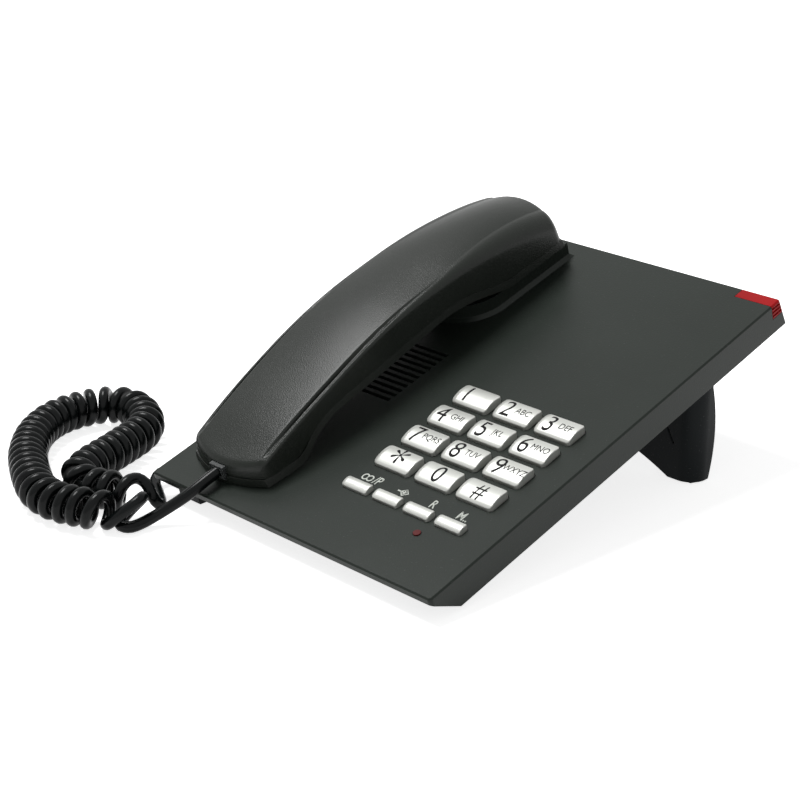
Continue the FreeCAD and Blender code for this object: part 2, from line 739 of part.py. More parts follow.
def below_underside(lift):
    """Everything under the handset's lower edge, raised by lift."""
    edges = underside_curve(lift)
    start = edges[0].Vertexes[0].Point
    end = edges[-1].Vertexes[-1].Point
    low = -20.0
    edges += [
        Part.LineSegment(end, V(0, end.y, low)).toShape(),
        Part.LineSegment(V(0, end.y, low), V(0, start.y, low)).toShape(),
        Part.LineSegment(V(0, start.y, low), start).toShape(),
    ]
    half = 2 * HANDSET_LOW_HALF
    region = Part.Face(Part.Wire(Part.__sortEdges__(edges))).extrude(V(2 * half, 0, 0))
    region.translate(V(HANDSET_X - half, 0, 0))
    return region


# Along the handset: y, height of the top edge, half width at that edge, half width where the
# side starts, height where it starts, radius of the top corner, crown of the top.
HANDSET_STATIONS = (
    (4.0, 6.2, 17.4, 22.2, -6.0, 0.8, 0.5),
    (20.0, 10.2, 18.0, 22.2, -3.0, 0.8, 0.8),
    (57.0, 21.6, 19.0, 22.3, 4.0, 1.0, 1.2),
    (97.0, 28.2, 19.2, 22.3, 9.0, 1.6, 1.5),
    (137.0, 31.2, 19.4, 22.3, 8.0, 4.0, 1.6),
    (167.0, 29.8, 19.6, 22.2, 4.0, 6.5, 1.6),
    (188.0, 25.8, 19.6, 22.2, 3.0, 7.5, 1.6),
    (206.0, 19.5, 19.4, 22.2, 2.0, 8.0, 1.6),
)


def handset_section(station, inset, corner_steps, crown_steps):
    """One cross section as a wire: flat base, leaning sides, round corners and a crowned top.

    The corners and the crown are drawn in short chords, which the loft turns into smooth strips.
    """
    y, top, top_half, low_half, low, corner, crown = station
    top -= inset
    top_half -= inset
    low_half -= inset
    corner = max(corner - inset, 0.4)
    lean = math.atan2(low_half - top_half, top - low)
    reach = corner * math.tan((math.pi / 2 - lean) / 2)
    centre_x = top_half - reach
    half = [(low_half, low)]
    for number in range(corner_steps + 1):
        angle = lean + (math.pi / 2 - lean) * number / corner_steps
        half.append((centre_x + corner * math.cos(angle), top - corner + corner * math.sin(angle)))
    for number in range(1, crown_steps):
        across = 1 - number / crown_steps
        half.append((centre_x * across, top + crown * (1 - across * across)))
    points = [V(HANDSET_X + x, y, z) for x, z in half]
    points += [V(HANDSET_X - x, y, z) for x, z in reversed(half)]
    return Part.makePolygon(points + points[:1])


def round_end(y, z, radius, lean, facing, inset):
    """What lies outside the handset's rounded end: a leaning cylinder taken from a block."""
    lean = math.radians(lean)
    axis = V(0, -facing * math.sin(lean), math.cos(lean))
    middle = V(HANDSET_X, y - facing * radius, z)
    cylinder = Part.makeCylinder(radius - inset, 120, middle - axis * 60, axis)
    half = 2 * HANDSET_LOW_HALF
    near, far = sorted((middle.y, y + facing * 30))
    return block(HANDSET_X - half, HANDSET_X + half, near, far, -30, 60).cut(cylinder)


def handset_envelope(inset):
    """The handset's outer form, or its hollow when drawn in by the wall."""
    steps = (HANDSET_CORNER_STEPS, HANDSET_CROWN_STEPS) if inset == 0 else (1, 1)
    body = Part.makeLoft([handset_section(station, inset, *steps) for station in HANDSET_STATIONS], True)
    front = round_end(HANDSET_FRONT, HANDSET_REST_GAP, FRONT_ROUND_RADIUS, FRONT_LEAN, -1, inset)
    rear = round_end(HANDSET_REAR, EAR_REST_HEIGHT, REAR_ROUND_RADIUS, REAR_LEAN, 1, inset)
    return body.cut([front, rear, below_underside(inset)])


def handset_socket_box(gap, depth):
    half_x = PLUG_WIDTH / 2 + gap
    half_z = PLUG_HEIGHT / 2 + gap
    return block(HANDSET_SOCKET_X - half_x, HANDSET_SOCKET_X + half_x, 0, handset_socket_back(depth),
                 HANDSET_SOCKET_Z - half_z, HANDSET_SOCKET_Z + half_z)


def handset_socket_back(depth):
    return HANDSET_FRONT + HANDSET_WALL + depth


def handset_cord_jack():
    """The cradle inside the handset's mouth end: two cheeks and the back that the plug meets."""
    back = handset_socket_back(HANDSET_SOCKET_DEPTH)
    half_x = PLUG_WIDTH / 2 + SOCKET_WALL
    body = block(HANDSET_SOCKET_X - half_x, HANDSET_SOCKET_X + half_x, back - HANDSET_CRADLE_DEPTH,
                 back + SOCKET_WALL, HANDSET_REST_GAP + HANDSET_WALL + CAPSULE_GAP,
                 HANDSET_SOCKET_Z + HANDSET_CRADLE_RISE)
    return body.cut(handset_socket_box(PLUG_CLEARANCE, HANDSET_SOCKET_DEPTH))


def handset_shells():
    """The two halves of the handset's hollow case, parted by a line near the lower edge."""
    envelope = handset_envelope(0)
    hollow = handset_envelope(HANDSET_WALL)
    lower_zone = below_underside(LOWER_SHELL_HEIGHT)
    opening = handset_socket_box(PLUG_CLEARANCE * 2, HANDSET_SOCKET_DEPTH)
    upper = envelope.cut([hollow, lower_zone, opening])
    lower = envelope.common(lower_zone).cut([hollow, opening])
    return upper, lower


def ear_cap():
    """The round rim under the ear end that drops into the cup."""
    return rod(EAR_CAP_RADIUS, HANDSET_X, EAR_CAP_Y, ear_cap_low_z(), EAR_REST_HEIGHT)


def slot_row(count, pitch, x, y, length, width, top):
    """A row of sound slots, cut from far below up to a height."""
    slots = []
    for number in range(count):
        middle = y + (number - (count - 1) / 2) * pitch
        slots.append(block(x - length / 2, x + length / 2, middle - width / 2, middle + width / 2, -5, top))
    return slots


def receiver_seat_z():
    return ear_cap_low_z() + HANDSET_WALL


def mouth_x():
    return HANDSET_X + 8


def handset_screw_seat(y=HANDSET_SCREW_Y):
    """Height of the lower shell's underside at y, read off the side curve."""
    line = Part.LineSegment(V(0, y, -10), V(0, y, 60)).toShape()
    for edge in underside_curve(0):
        distance, points, _ = edge.distToShape(line)
        if distance < 0.001:
            return points[0][0].z
    return HANDSET_REST_GAP


def handset_lower_shell(lower):
    bowl = rod(RECEIVER_RADIUS + CAPSULE_GAP, HANDSET_X, EAR_CAP_Y, receiver_seat_z(), 20)
    ear_slots = slot_row(EAR_SLOTS, EAR_SLOT_PITCH, HANDSET_X, EAR_CAP_Y, EAR_SLOT_LENGTH, EAR_SLOT,
                         receiver_seat_z() + 1)
    mouth_slots = slot_row(MOUTH_SLOTS, MOUTH_SLOT_PITCH, mouth_x(), MOUTH_Y, MOUTH_SLOT_LENGTH,
                           MOUTH_SLOT, HANDSET_REST_GAP + HANDSET_WALL + 1)
    lower = lower.fuse(ear_cap()).cut([bowl] + ear_slots + mouth_slots)
    seat = handset_screw_seat()
    return lower.cut([
        rod(SCREW_RADIUS + SCREW_CLEARANCE, HANDSET_X, HANDSET_SCREW_Y, seat - 3, seat + 6),
        rod(SCREW_HEAD_RADIUS + SCREW_CLEARANCE, HANDSET_X, HANDSET_SCREW_Y, seat - 3,
            seat + SCREW_RECESS + SCREW_HEAD_HEIGHT),
    ])


def handset_upper_shell(upper):
    """The upper half gets the post that the screw bites into."""
    seat = handset_screw_seat() + HANDSET_WALL + CAPSULE_GAP
    post = rod(BOSS_RADIUS, HANDSET_X, HANDSET_SCREW_Y, seat, 40)
    post = post.common(handset_envelope(HANDSET_WALL / 2))
    bore = rod(SCREW_RADIUS, HANDSET_X, HANDSET_SCREW_Y, seat - 1, seat + 7)
    return upper.fuse(post).cut(bore)


def handset_screw():
    head = handset_screw_seat() + SCREW_RECESS
    return screw(HANDSET_X, HANDSET_SCREW_Y, head, SCREW_HEAD_HEIGHT + HANDSET_WALL + 5)


def receiver_capsule():
    seat = receiver_seat_z()
    return rod(RECEIVER_RADIUS, HANDSET_X, EAR_CAP_Y, seat, seat + RECEIVER_DEPTH)


def microphone_capsule():
    seat = HANDSET_REST_GAP + HANDSET_WALL
    return rod(MICROPHONE_RADIUS, mouth_x(), MOUTH_Y, seat, seat + MICROPHONE_DEPTH)


def handset_weight():
    """The steel bar that gives the handset its heft, lying on the lower shell."""
    width, length, height = WEIGHT_SIZE
    seat = max(handset_screw_seat(WEIGHT_Y - length / 2), handset_screw_seat(WEIGHT_Y),
               handset_screw_seat(WEIGHT_Y + length / 2)) + HANDSET_WALL + CAPSULE_GAP
    return block(HANDSET_X - width / 2, HANDSET_X + width / 2, WEIGHT_Y - length / 2,
                 WEIGHT_Y + length / 2, seat, seat + height)


# Base socket and plugs


def base_socket_envelope(gap):
    """The socket block under the front left corner, down to its flat foot above the desk."""
    half = BASE_SOCKET_BODY / 2
    body = block(BASE_SOCKET_MOUTH_X - gap, BASE_SOCKET_MOUTH_X + BASE_SOCKET_BODY + gap,
                 BASE_SOCKET_Y - half - gap, BASE_SOCKET_Y + half + gap, -2 * SLAB_THICKNESS, -TOP_PLATE)
    above = leaned_back(block(-SLAB_WIDTH, SLAB_WIDTH, -50, 50, BASE_SOCKET_FLOOR, 50))
    return body.common(above)


def base_handset_jack():
    half_y = PLUG_WIDTH / 2 + PLUG_CLEARANCE
    half_z = PLUG_HEIGHT / 2 + PLUG_CLEARANCE
    socket = block(BASE_SOCKET_MOUTH_X - 1, BASE_SOCKET_MOUTH_X + SOCKET_DEPTH, BASE_SOCKET_Y - half_y,
                   BASE_SOCKET_Y + half_y, BASE_SOCKET_Z - half_z, BASE_SOCKET_Z + half_z)
    return base_socket_envelope(0).cut(socket)


def plug_body(seat):
    """A clear modular plug along +X, its inner face at X = 0, with the cord's seat in its tail.

    A seat of nothing leaves the tail flat.
    """
    half_y, half_z = PLUG_WIDTH / 2, PLUG_HEIGHT / 2
    body = block(-PLUG_LENGTH, 0, -half_y, half_y, -half_z, half_z)
    width, length, height = PLUG_LATCH
    notch = block(-length, 0, -width / 2 - 0.5, width / 2 + 0.5, half_z - height, half_z)
    latch = side_prism([(-width / 2, half_z - height), (width / 2, half_z - height),
                        (width / 2, half_z - 0.2), (-width / 2, half_z - 0.2)], -length, -1.0)
    plug = body.cut(notch).fuse(latch)
    if seat:
        plug = plug.cut(Part.makeCylinder(CORD_WIRE / 2 + GLAND_CLEARANCE, seat, V(-PLUG_LENGTH, 0, 0), V(1, 0, 0)))
    return plug


def base_end_plug():
    plug = plug_body(GLAND_SEAT)
    plug.rotate(V(0, 0, 0), V(1, 0, 0), 180)
    plug.translate(V(BASE_SOCKET_MOUTH_X + SOCKET_DEPTH - 0.5, BASE_SOCKET_Y, BASE_SOCKET_Z))
    return plug


def handset_end_plug():
    plug = plug_body(0)
    plug.rotate(V(0, 0, 0), V(0, 0, 1), 90)
    plug.rotate(V(0, 0, 0), V(0, 1, 0), 180)
    plug.translate(V(HANDSET_SOCKET_X, handset_socket_back(HANDSET_SOCKET_DEPTH) - 0.5, HANDSET_SOCKET_Z))
    return plug


# Desk stand and feet


def stand_outline(inset, z):
    """The apron seen from above: front wall, round corners and the two side walls."""
    half = STAND_HALF_WIDTH - inset
    front = STAND_FRONT + inset
    rear = STAND_REAR + 1
    radius = STAND_CORNER_RADIUS - inset
    cut = radius * (1 - math.sqrt(0.5))
    edges = [
        Part.LineSegment(V(-half, rear, z), V(-half, front + radius, z)),
        Part.Arc(V(-half, front + radius, z), V(-half + cut, front + cut, z), V(-half + radius, front, z)),
        Part.LineSegment(V(-half + radius, front, z), V(half - radius, front, z)),
        Part.Arc(V(half - radius, front, z), V(half - cut, front + cut, z), V(half, front + radius, z)),
        Part.LineSegment(V(half, front + radius, z), V(half, rear, z)),
        Part.LineSegment(V(half, rear, z), V(-half, rear, z)),
    ]
    return Part.Wire([edge.toShape() for edge in edges])


def under_slab(gap):
    """The upright space below the slab's flat underside."""
    space = block(-SLAB_WIDTH, SLAB_WIDTH, 0, SLAB_LENGTH + 20, -SLAB_THICKNESS - 120, -SLAB_THICKNESS - gap)
    space.rotate(V(0, 0, 0), V(1, 0, 0), DESK_ANGLE)
    space.translate(V(0, 0, FRONT_EDGE_HEIGHT))
    return space


def stand_rear_side():
    """What lies behind the side walls' bowed rear edge."""
    bow = Part.Arc(V(-100, STAND_REAR - 3, 0), V(-100, STAND_REAR, 18), V(-100, STAND_REAR - 3, 40)).toShape()
    start, end = V(-100, STAND_REAR - 3, 0), V(-100, STAND_REAR - 3, 40)
    edges = [
        bow,
        Part.LineSegment(end, V(-100, STAND_REAR - 3, 60)).toShape(),
        Part.LineSegment(V(-100, STAND_REAR - 3, 60), V(-100, STAND_REAR + 20, 60)).toShape(),
        Part.LineSegment(V(-100, STAND_REAR + 20, 60), V(-100, STAND_REAR + 20, 0)).toShape(),
        Part.LineSegment(V(-100, STAND_REAR + 20, 0), start).toShape(),
    ]
    return Part.Face(Part.Wire(Part.__sortEdges__(edges))).extrude(V(200, 0, 0))


def stand_arch():
    """The arch between the feet, as a prism through the front wall."""
    foot = STAND_HALF_WIDTH - STAND_FOOT_WIDTH
    y = STAND_FRONT - 1
    rise = STAND_SOLE_LIFT - 1
    arc = Part.Arc(V(foot, y, rise), V(0, y, STAND_ARCH_HEIGHT), V(-foot, y, rise)).toShape()
    floor = Part.LineSegment(V(-foot, y, rise), V(foot, y, rise)).toShape()
    return Part.Face(Part.Wire([arc, floor])).extrude(V(0, STAND_REAR, 0))


def stand_slit(side):
    """The narrow slit that frees the clip's springy tongue, leaning towards the middle."""
    x, z = STAND_SLIT_FOOT
    slit = block(-STAND_SLIT_WIDTH / 2, STAND_SLIT_WIDTH / 2, STAND_FRONT - 1,
                 STAND_FRONT + STAND_WALL + 1, 0, 24)
    slit.rotate(V(0, 0, 0), V(0, 1, 0), -side * STAND_SLIT_LEAN)
    slit.translate(V(side * x, 0, z))
    return slit


def stand_tab(side, gap):
    """One of the tabs that clip the stand into the bottom cover, in the slab frame."""
    half = STAND_TAB_WIDTH / 2 + gap
    web_y = (STAND_FRONT + STAND_REAR) / 2 / math.cos(math.radians(DESK_ANGLE))
    web_y -= SLAB_THICKNESS * math.tan(math.radians(DESK_ANGLE))
    return block(side * STAND_TAB_X - half, side * STAND_TAB_X + half, web_y - STAND_TAB_THICKNESS / 2 - gap,
                 web_y + STAND_TAB_THICKNESS / 2 + gap, -SLAB_THICKNESS - 1,
                 -SLAB_THICKNESS + STAND_TAB_HEIGHT)


def desk_stand():
    """The arched apron under the slab's rear half, in the upright frame."""
    bottom = STAND_SOLE_LIFT
    apron = Part.Face(stand_outline(0, bottom)).extrude(V(0, 0, 80))
    hollow = Part.Face(stand_outline(STAND_WALL, bottom)).extrude(V(0, 0, 80))
    walls = apron.cut(hollow.fuse(block(-STAND_HALF_WIDTH + STAND_WALL, STAND_HALF_WIDTH - STAND_WALL,
                                        STAND_REAR - 2, STAND_REAR + 5, bottom, 100)))
    web = apron.common(under_slab(0)).cut(under_slab(STAND_WEB))
    sole = apron.common(block(-STAND_HALF_WIDTH, STAND_HALF_WIDTH, STAND_FRONT, STAND_REAR,
                              bottom, bottom + STAND_SOLE))
    stand = walls.fuse([sole, web]).common(under_slab(0))
    stand = stand.cut([stand_arch(), stand_rear_side(), stand_slit(-1), stand_slit(1)])
    for side in (-1, 1):
        tab = stand_tab(side, 0)
        tab.rotate(V(0, 0, 0), V(1, 0, 0), DESK_ANGLE)
        tab.translate(V(0, 0, FRONT_EDGE_HEIGHT))
        stand = stand.fuse(tab)
    pads = [rear_pad(side) for side in (-1, 1)]
    return stand.cut(pads).removeSplitter()


def rear_pad(side):
    x = side * (STAND_HALF_WIDTH - STAND_FOOT_WIDTH / 2 - 0.3)
    y = (STAND_FRONT + STAND_REAR) / 2 - 1
    return square_post(REAR_PAD_WIDTH, x, y, 0, STAND_SOLE_LIFT + REAR_PAD_DEPTH)


def rubber_feet():
    """Two wedge feet under the slab's front and two pads under the stand's feet."""
    feet = []
    above_desk = block(-SLAB_WIDTH, SLAB_WIDTH, -50, 100, 0, 50)
    for side in (-1, 1):
        foot = rod(FOOT_RADIUS, side * FRONT_FOOT_X, FRONT_FOOT_Y, -2 * SLAB_THICKNESS, -SLAB_THICKNESS)
        foot.rotate(V(0, 0, 0), V(1, 0, 0), DESK_ANGLE)
        foot.translate(V(0, 0, FRONT_EDGE_HEIGHT))
        feet.append(foot.common(above_desk))
        feet.append(rear_pad(side))
    return Part.makeCompound([solid for foot in feet for solid in foot.Solids])


# Cord


def mitred_tube(points, diameter, sides):
    """A faceted tube along a line of points: straight prisms that meet on mitre planes."""
    radius = diameter / 2
    heading = points[1] - points[0]
    heading.normalize()
    across = heading.cross(V(0, 0, 1))
    if across.Length < 0.1:
        across = heading.cross(V(0, 1, 0))
    across.normalize()
    upward = across.cross(heading)
    ring = []
    for number in range(sides):
        angle = 2 * math.pi * (number + 0.5) / sides
        ring.append(points[0] + across * (radius * math.cos(angle)) + upward * (radius * math.sin(angle)))
    rings = [ring]
    for number in range(1, len(points)):
        here = points[number]
        arriving = here - points[number - 1]
        arriving.normalize()
        plane = V(arriving)
        if number < len(points) - 1:
            leaving = points[number + 1] - here
            leaving.normalize()
            plane = arriving + leaving
            plane.normalize()
        step = plane.dot(arriving)
        rings.append([corner + arriving * ((here - corner).dot(plane) / step) for corner in rings[-1]])
    faces = []
    for near, far in zip(rings, rings[1:]):
        for number in range(sides):
            after = (number + 1) % sides
            corners = [near[number], near[after], far[after], far[number], near[number]]
            faces.append(Part.Face(Part.makePolygon(corners)))
    for ring in (rings[0], rings[-1]):
        faces.append(Part.Face(Part.makePolygon(ring + ring[:1])))
    return Part.Solid(Part.Shell(faces))


def curl_axis():
    height = CURL_DIAMETER / 2 + CURL_LIFT
    line = Part.BSplineCurve()
    line.interpolate([V(x, y, height) for x, y in CURL_LINE])
    return line


def pulled(distance, pull, reach):
    """How many times the closed curls' pitch the cord advances, so far from an end of the curls."""
    return 1 + pull * max(0.0, 1 - distance / reach)


def curl_points():
    """The wire's middle line through all the curls.

    Each curl advances by the wire and a gap where the line is straight, and by more on a bend,
    so that the curls stay clear of each other on the inside of it.
    """
    line = curl_axis()
    length = line.length()
    radius = (CURL_DIAMETER - CORD_WIRE) / 2
    samples = 600
    step = length / samples
    turned = [0.0]
    for number in range(samples):
        reached = (number + 0.5) * step
        parameter = line.parameterAtDistance(reached, line.FirstParameter)
        pitch = (CORD_WIRE + CURL_GAP) / (1 - radius * line.curvature(parameter))
        pitch *= pulled(reached, *FIRST_CURL_PULL) * pulled(length - reached, *LAST_CURL_PULL)
        turned.append(turned[-1] + step / pitch)
    turns = round(turned[-1] - 0.5) + 0.5
    count = int(turns * CURL_STEPS)
    points = []
    for number in range(count + 1):
        wanted = turned[-1] * number / count
        after = min(max(bisect.bisect_left(turned, wanted), 1), samples)
        share = (wanted - turned[after - 1]) / (turned[after] - turned[after - 1])
        parameter = line.parameterAtDistance((after - 1 + share) * step, line.FirstParameter)
        centre = line.value(parameter)
        heading = line.tangent(parameter)[0]
        side = V(-heading.y, heading.x, 0)
        side.normalize()
        angle = -2 * math.pi * turns * number / count - math.pi / 2
        lean, reach = FIRST_CURL_LEAN
        back = lean * max(0.0, 1 - (after - 1 + share) * step / reach) * (1 + math.sin(angle)) / 2
        points.append(centre + side * (radius * math.cos(angle)) - heading * back
                      + V(0, 0, radius * math.sin(angle)))
    return points, turns


def rounded_route(corners):
    """A route with an arc at every corner, as large as its two runs allow, in short steps."""
    points = [corners[0]]
    radii = []
    for before, here, after in zip(corners, corners[1:], corners[2:]):
        arriving = here - before
        leaving = after - here
        shorter = min(arriving.Length, leaving.Length)
        arriving.normalize()
        leaving.normalize()
        turn = arriving.getAngle(leaving)
        reach = 0.45 * shorter
        radius = reach / math.tan(turn / 2)
        radii.append(radius)
        inward = leaving - arriving
        inward.normalize()
        centre = here + inward * (radius / math.cos(turn / 2))
        start = here - arriving * reach
        axis = arriving.cross(leaving)
        axis.normalize()
        steps = max(1, round(math.degrees(turn) / BEND_STEP))
        for number in range(steps + 1):
            spin = FreeCAD.Rotation(axis, math.degrees(turn) * number / steps)
            points.append(centre + spin.multVec(start - centre))
    points.append(corners[-1])
    return points, radii


def handset_cord_start():
    """Where the cord meets the tail of the handset's plug, and the point that it makes for."""
    tail = V(HANDSET_SOCKET_X, handset_socket_back(HANDSET_SOCKET_DEPTH) - 0.5 - PLUG_LENGTH, HANDSET_SOCKET_Z)
    ahead = tail - V(0, CORD_WIRE, 0)
    return desk_point(tail), desk_point(ahead)


def base_cord_end():
    """Where the cord enters the base's plug, and the point that it comes from."""
    tail = V(BASE_SOCKET_MOUTH_X + SOCKET_DEPTH - 0.5 - PLUG_LENGTH + GLAND_SEAT, BASE_SOCKET_Y, BASE_SOCKET_Z)
    behind = tail - V(CORD_WIRE, 0, 0)
    return desk_point(tail), desk_point(behind)


# The stretch from the handset's plug down to the first curl, and the stretched curl from the
# last one to the base's plug, as corners between the ends that the plugs set.
HANDSET_LEAD = (
    (-46.8, -5.5, 11.2), (-51.0, -12.0, 6.6), (-54.0, -17.6, 3.4), (-54.6, -22.4, 2.5),
    (-54.8, -26.2, 2.45), (-57.0, -28.3, 2.45), (-60.2, -28.1, 2.45), (-62.1, -25.2, 2.9),
    (-61.8, -21.4, 5.6), (-58.4, -18.4, 10.2), (-54.4, -20.0, 13.7), (-53.2, -25.2, 12.6),
    (-56.4, -30.0, 8.4), (-60.4, -32.8, 4.2),
)
BASE_LEAD = (
    (-69.0, -11.5, 13.6), (-66.3, -9.6, 11.6), (-63.3, -9.8, 8.2), (-61.7, -9.1, 4.8),
    (-61.9, -6.9, 2.9), (-64.6, -4.2, 2.5), (-70.5, -0.8, 3.0), (-77.0, 2.6, 3.8),
    (-80.4, 6.4, 4.8), (-80.4, 10.4, 5.7), (-77.4, 12.5, 6.1),
)


def handset_cord():
    """One unbroken cord: plug, straight stretch, curls, stretched curl, plug."""
    start, ahead = handset_cord_start()
    end, behind = base_cord_end()
    curls, turns = curl_points()
    lead_in, radii_in = rounded_route([start, ahead] + [V(*corner) for corner in HANDSET_LEAD] + curls[:1])
    lead_out, radii_out = rounded_route(curls[-1:] + [V(*corner) for corner in BASE_LEAD] + [behind, end])
    points = lead_in[:-1] + curls + lead_out[1:]
    print("curls", turns, "lead radii", [round(radius, 1) for radius in radii_in + radii_out])
    print("least gap between curls", round(least_gap(points), 2))
    print("lowest point", round(min(point.z for point in points) - CORD_WIRE / 2, 2))
    return mitred_tube(points, CORD_WIRE, CORD_SIDES)


def least_gap(points):
    """The least clear space between stretches of the wire over three diameters apart along it."""
    samples = []
    run = 0.0
    for near, far in zip(points, points[1:]):
        for quarter in range(4):
            share = quarter / 4
            samples.append((near + (far - near) * share, run + (far - near).Length * share))
        run += (far - near).Length
    nearest = CURL_DIAMETER
    for number, (point, here) in enumerate(samples):
        for other, there in samples[number:]:
            if there - here > 3 * CORD_WIRE:
                nearest = min(nearest, point.distanceToPoint(other))
    return nearest - CORD_WIRE


def build():
    os.makedirs("parts", exist_ok=True)
    save("base_top_housing", on_desk(base_top_housing()))
    save("base_bottom_cover", on_desk(base_bottom_cover()))
    save("housing_screws", on_desk(housing_screws()))
    save("ring_lamp_lens", on_desk(ring_lamp_lens()))
    save("ring_lamp_led", on_desk(ring_lamp_led()))
    for name, left, front, width, depth, height in key_places():
        save(name, on_desk(key_solid(left, front, width, depth, height)))
    save("keypad_rubber_mat", on_desk(keypad_rubber_mat()))
    save("main_circuit_board", on_desk(main_circuit_board()))
    save("indicator_led", on_desk(indicator_led()))
    save("ringer_speaker", on_desk(ringer_speaker()))
    save("hook_plunger", on_desk(hook_plunger()))
    save("hook_switch", on_desk(hook_switch()))
    save("hook_return_spring", on_desk(hook_return_spring()))
    save("line_jack", on_desk(line_jack()))
    upper, lower = handset_shells()
    save("handset_upper_shell", on_desk(handset_upper_shell(upper)))
    save("handset_lower_shell", on_desk(handset_lower_shell(lower)))
    save("handset_screw", on_desk(handset_screw()))
    save("receiver_capsule", on_desk(receiver_capsule()))
    save("microphone_capsule", on_desk(microphone_capsule()))
    save("handset_weight", on_desk(handset_weight()))
    save("handset_cord_jack", on_desk(handset_cord_jack()))
    save("base_handset_jack", on_desk(base_handset_jack()))
    save("base_end_plug", on_desk(base_end_plug()))
    save("handset_end_plug", on_desk(handset_end_plug()))
    save("desk_stand", upright(desk_stand()))
    save("rubber_feet", upright(rubber_feet()))
    save("handset_cord", upright(handset_cord()))


build()
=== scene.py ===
"""Corded desk telephone: the looks of every piece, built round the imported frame.

Shapes are worked out in the slab frame, in millimetres: X to the right from the slab's
middle, Y back from its front top edge and Z up from its top face. The desk frame has the
same X, Y level from the same edge and Z up from the desk.
"""

import logging
import math
from collections.abc import Callable
from dataclasses import dataclass
from enum import Enum
from functools import cache

import bmesh
import bpy
import numpy as np
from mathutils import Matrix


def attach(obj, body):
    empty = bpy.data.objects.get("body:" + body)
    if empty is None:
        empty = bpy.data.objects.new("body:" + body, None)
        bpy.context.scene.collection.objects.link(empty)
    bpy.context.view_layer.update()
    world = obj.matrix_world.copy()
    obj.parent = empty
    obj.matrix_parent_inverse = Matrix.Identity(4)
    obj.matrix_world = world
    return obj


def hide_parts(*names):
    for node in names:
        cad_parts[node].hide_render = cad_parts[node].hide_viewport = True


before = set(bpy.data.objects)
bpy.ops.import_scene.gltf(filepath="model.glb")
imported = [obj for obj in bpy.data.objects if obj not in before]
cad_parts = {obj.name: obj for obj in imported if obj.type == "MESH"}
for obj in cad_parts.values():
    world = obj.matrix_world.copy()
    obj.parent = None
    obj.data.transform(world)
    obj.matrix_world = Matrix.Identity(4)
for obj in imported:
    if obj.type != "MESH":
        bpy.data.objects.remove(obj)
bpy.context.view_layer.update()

log = logging.getLogger("telephone")

Piece = bpy.types.Object
Mesh = bpy.types.Mesh
Node = bpy.types.Node
Tree = bpy.types.NodeTree

MM = 0.001
DESK_ANGLE = math.radians(15.9)
COS = math.cos(DESK_ANGLE)
SIN = math.sin(DESK_ANGLE)
FRONT_EDGE_HEIGHT = 10.4
SLAB_LENGTH = 210.0
SLAB_THICKNESS = 12.5
REAR_FLARE = 2.8
DESK_DEPTH = (SLAB_LENGTH + REAR_FLARE) * COS + SLAB_THICKNESS * SIN
HANDSET_X = -45.0


class Body(Enum):
    """The bodies that pieces ride on, apart from the keys, which each have their own."""

    BASE = "base"
    HANDSET = "handset"


def from_desk(points: np.ndarray) -> np.ndarray:
    """Turn desk frame millimetres into metres, with Y counted from the footprint's middle."""
    return (points - np.array([0.0, DESK_DEPTH / 2, 0.0])) * MM


def slab_to_desk(points: np.ndarray) -> np.ndarray:
    """Lean slab frame points back and set them on the desk; the last axis is x, y and z."""
    x, y, z = np.moveaxis(np.asarray(points, dtype=float), -1, 0)
    return np.stack([x, y * COS - z * SIN, y * SIN + z * COS + FRONT_EDGE_HEIGHT], axis=-1)


def from_slab(points: np.ndarray) -> np.ndarray:
    """Turn slab frame points, in millimetres, into the frame's metres."""
    return from_desk(slab_to_desk(points))


def read_points(mesh: Mesh) -> np.ndarray:
    """Read a mesh's vertices as an array (points, 3)."""
    flat = np.empty(len(mesh.vertices) * 3)
    mesh.vertices.foreach_get("co", flat)
    return flat.reshape(-1, 3)


def write_points(mesh: Mesh, points: np.ndarray) -> None:
    """Move a mesh's vertices to slab frame points, in millimetres."""
    mesh.vertices.foreach_set("co", from_slab(points).ravel())
    mesh.update()


def reshape_in_slab(piece: Piece, change: Callable[[np.ndarray], None]) -> Piece:
    """Move a piece's vertices in the slab frame.

    Args:
        piece: the piece, in the frame's metres.
        change: changes an array (points, 3) of slab frame millimetres in place.

    Returns:
        The piece.
    """
    x, y, z = (read_points(piece.data) / MM + [0.0, DESK_DEPTH / 2, -FRONT_EDGE_HEIGHT]).T
    points = np.stack([x, y * COS + z * SIN, z * COS - y * SIN], axis=-1)
    change(points)
    write_points(piece.data, points)
    return piece


def smooth_line(knots: tuple[tuple[float, float], ...], at: np.ndarray) -> np.ndarray:
    """Read a smooth line through knots: cubic Hermite pieces with averaged slopes.

    Args:
        knots: pairs of a place and the value there, in order of place.
        at: the places to read the line at.

    Returns:
        The line's values, held level outside the first and last knot.
    """
    places, values = np.array(knots, dtype=float).T
    slopes = np.gradient(values, places)
    left = np.clip(np.searchsorted(places, at) - 1, 0, len(places) - 2)
    width = places[left + 1] - places[left]
    t = np.clip((at - places[left]) / width, 0.0, 1.0)
    rise = 3 * t**2 - 2 * t**3
    start = values[left] * (1 - rise) + slopes[left] * width * (t**3 - 2 * t**2 + t)
    return start + values[left + 1] * rise + slopes[left + 1] * width * (t**3 - t**2)


def placed(name: str, data: bpy.types.ID) -> Piece:
    """Put a mesh, curve, lamp or camera in the scene as a new object at the origin."""
    piece = bpy.data.objects.new(name, data)
    bpy.context.scene.collection.objects.link(piece)
    return piece


def shown_mesh(piece: Piece) -> Mesh:
    """Make a plain mesh of a piece as it shows, with its modifiers or curve worked out."""
    graph = bpy.context.evaluated_depsgraph_get()
    return bpy.data.meshes.new_from_object(piece.evaluated_get(graph), depsgraph=graph)


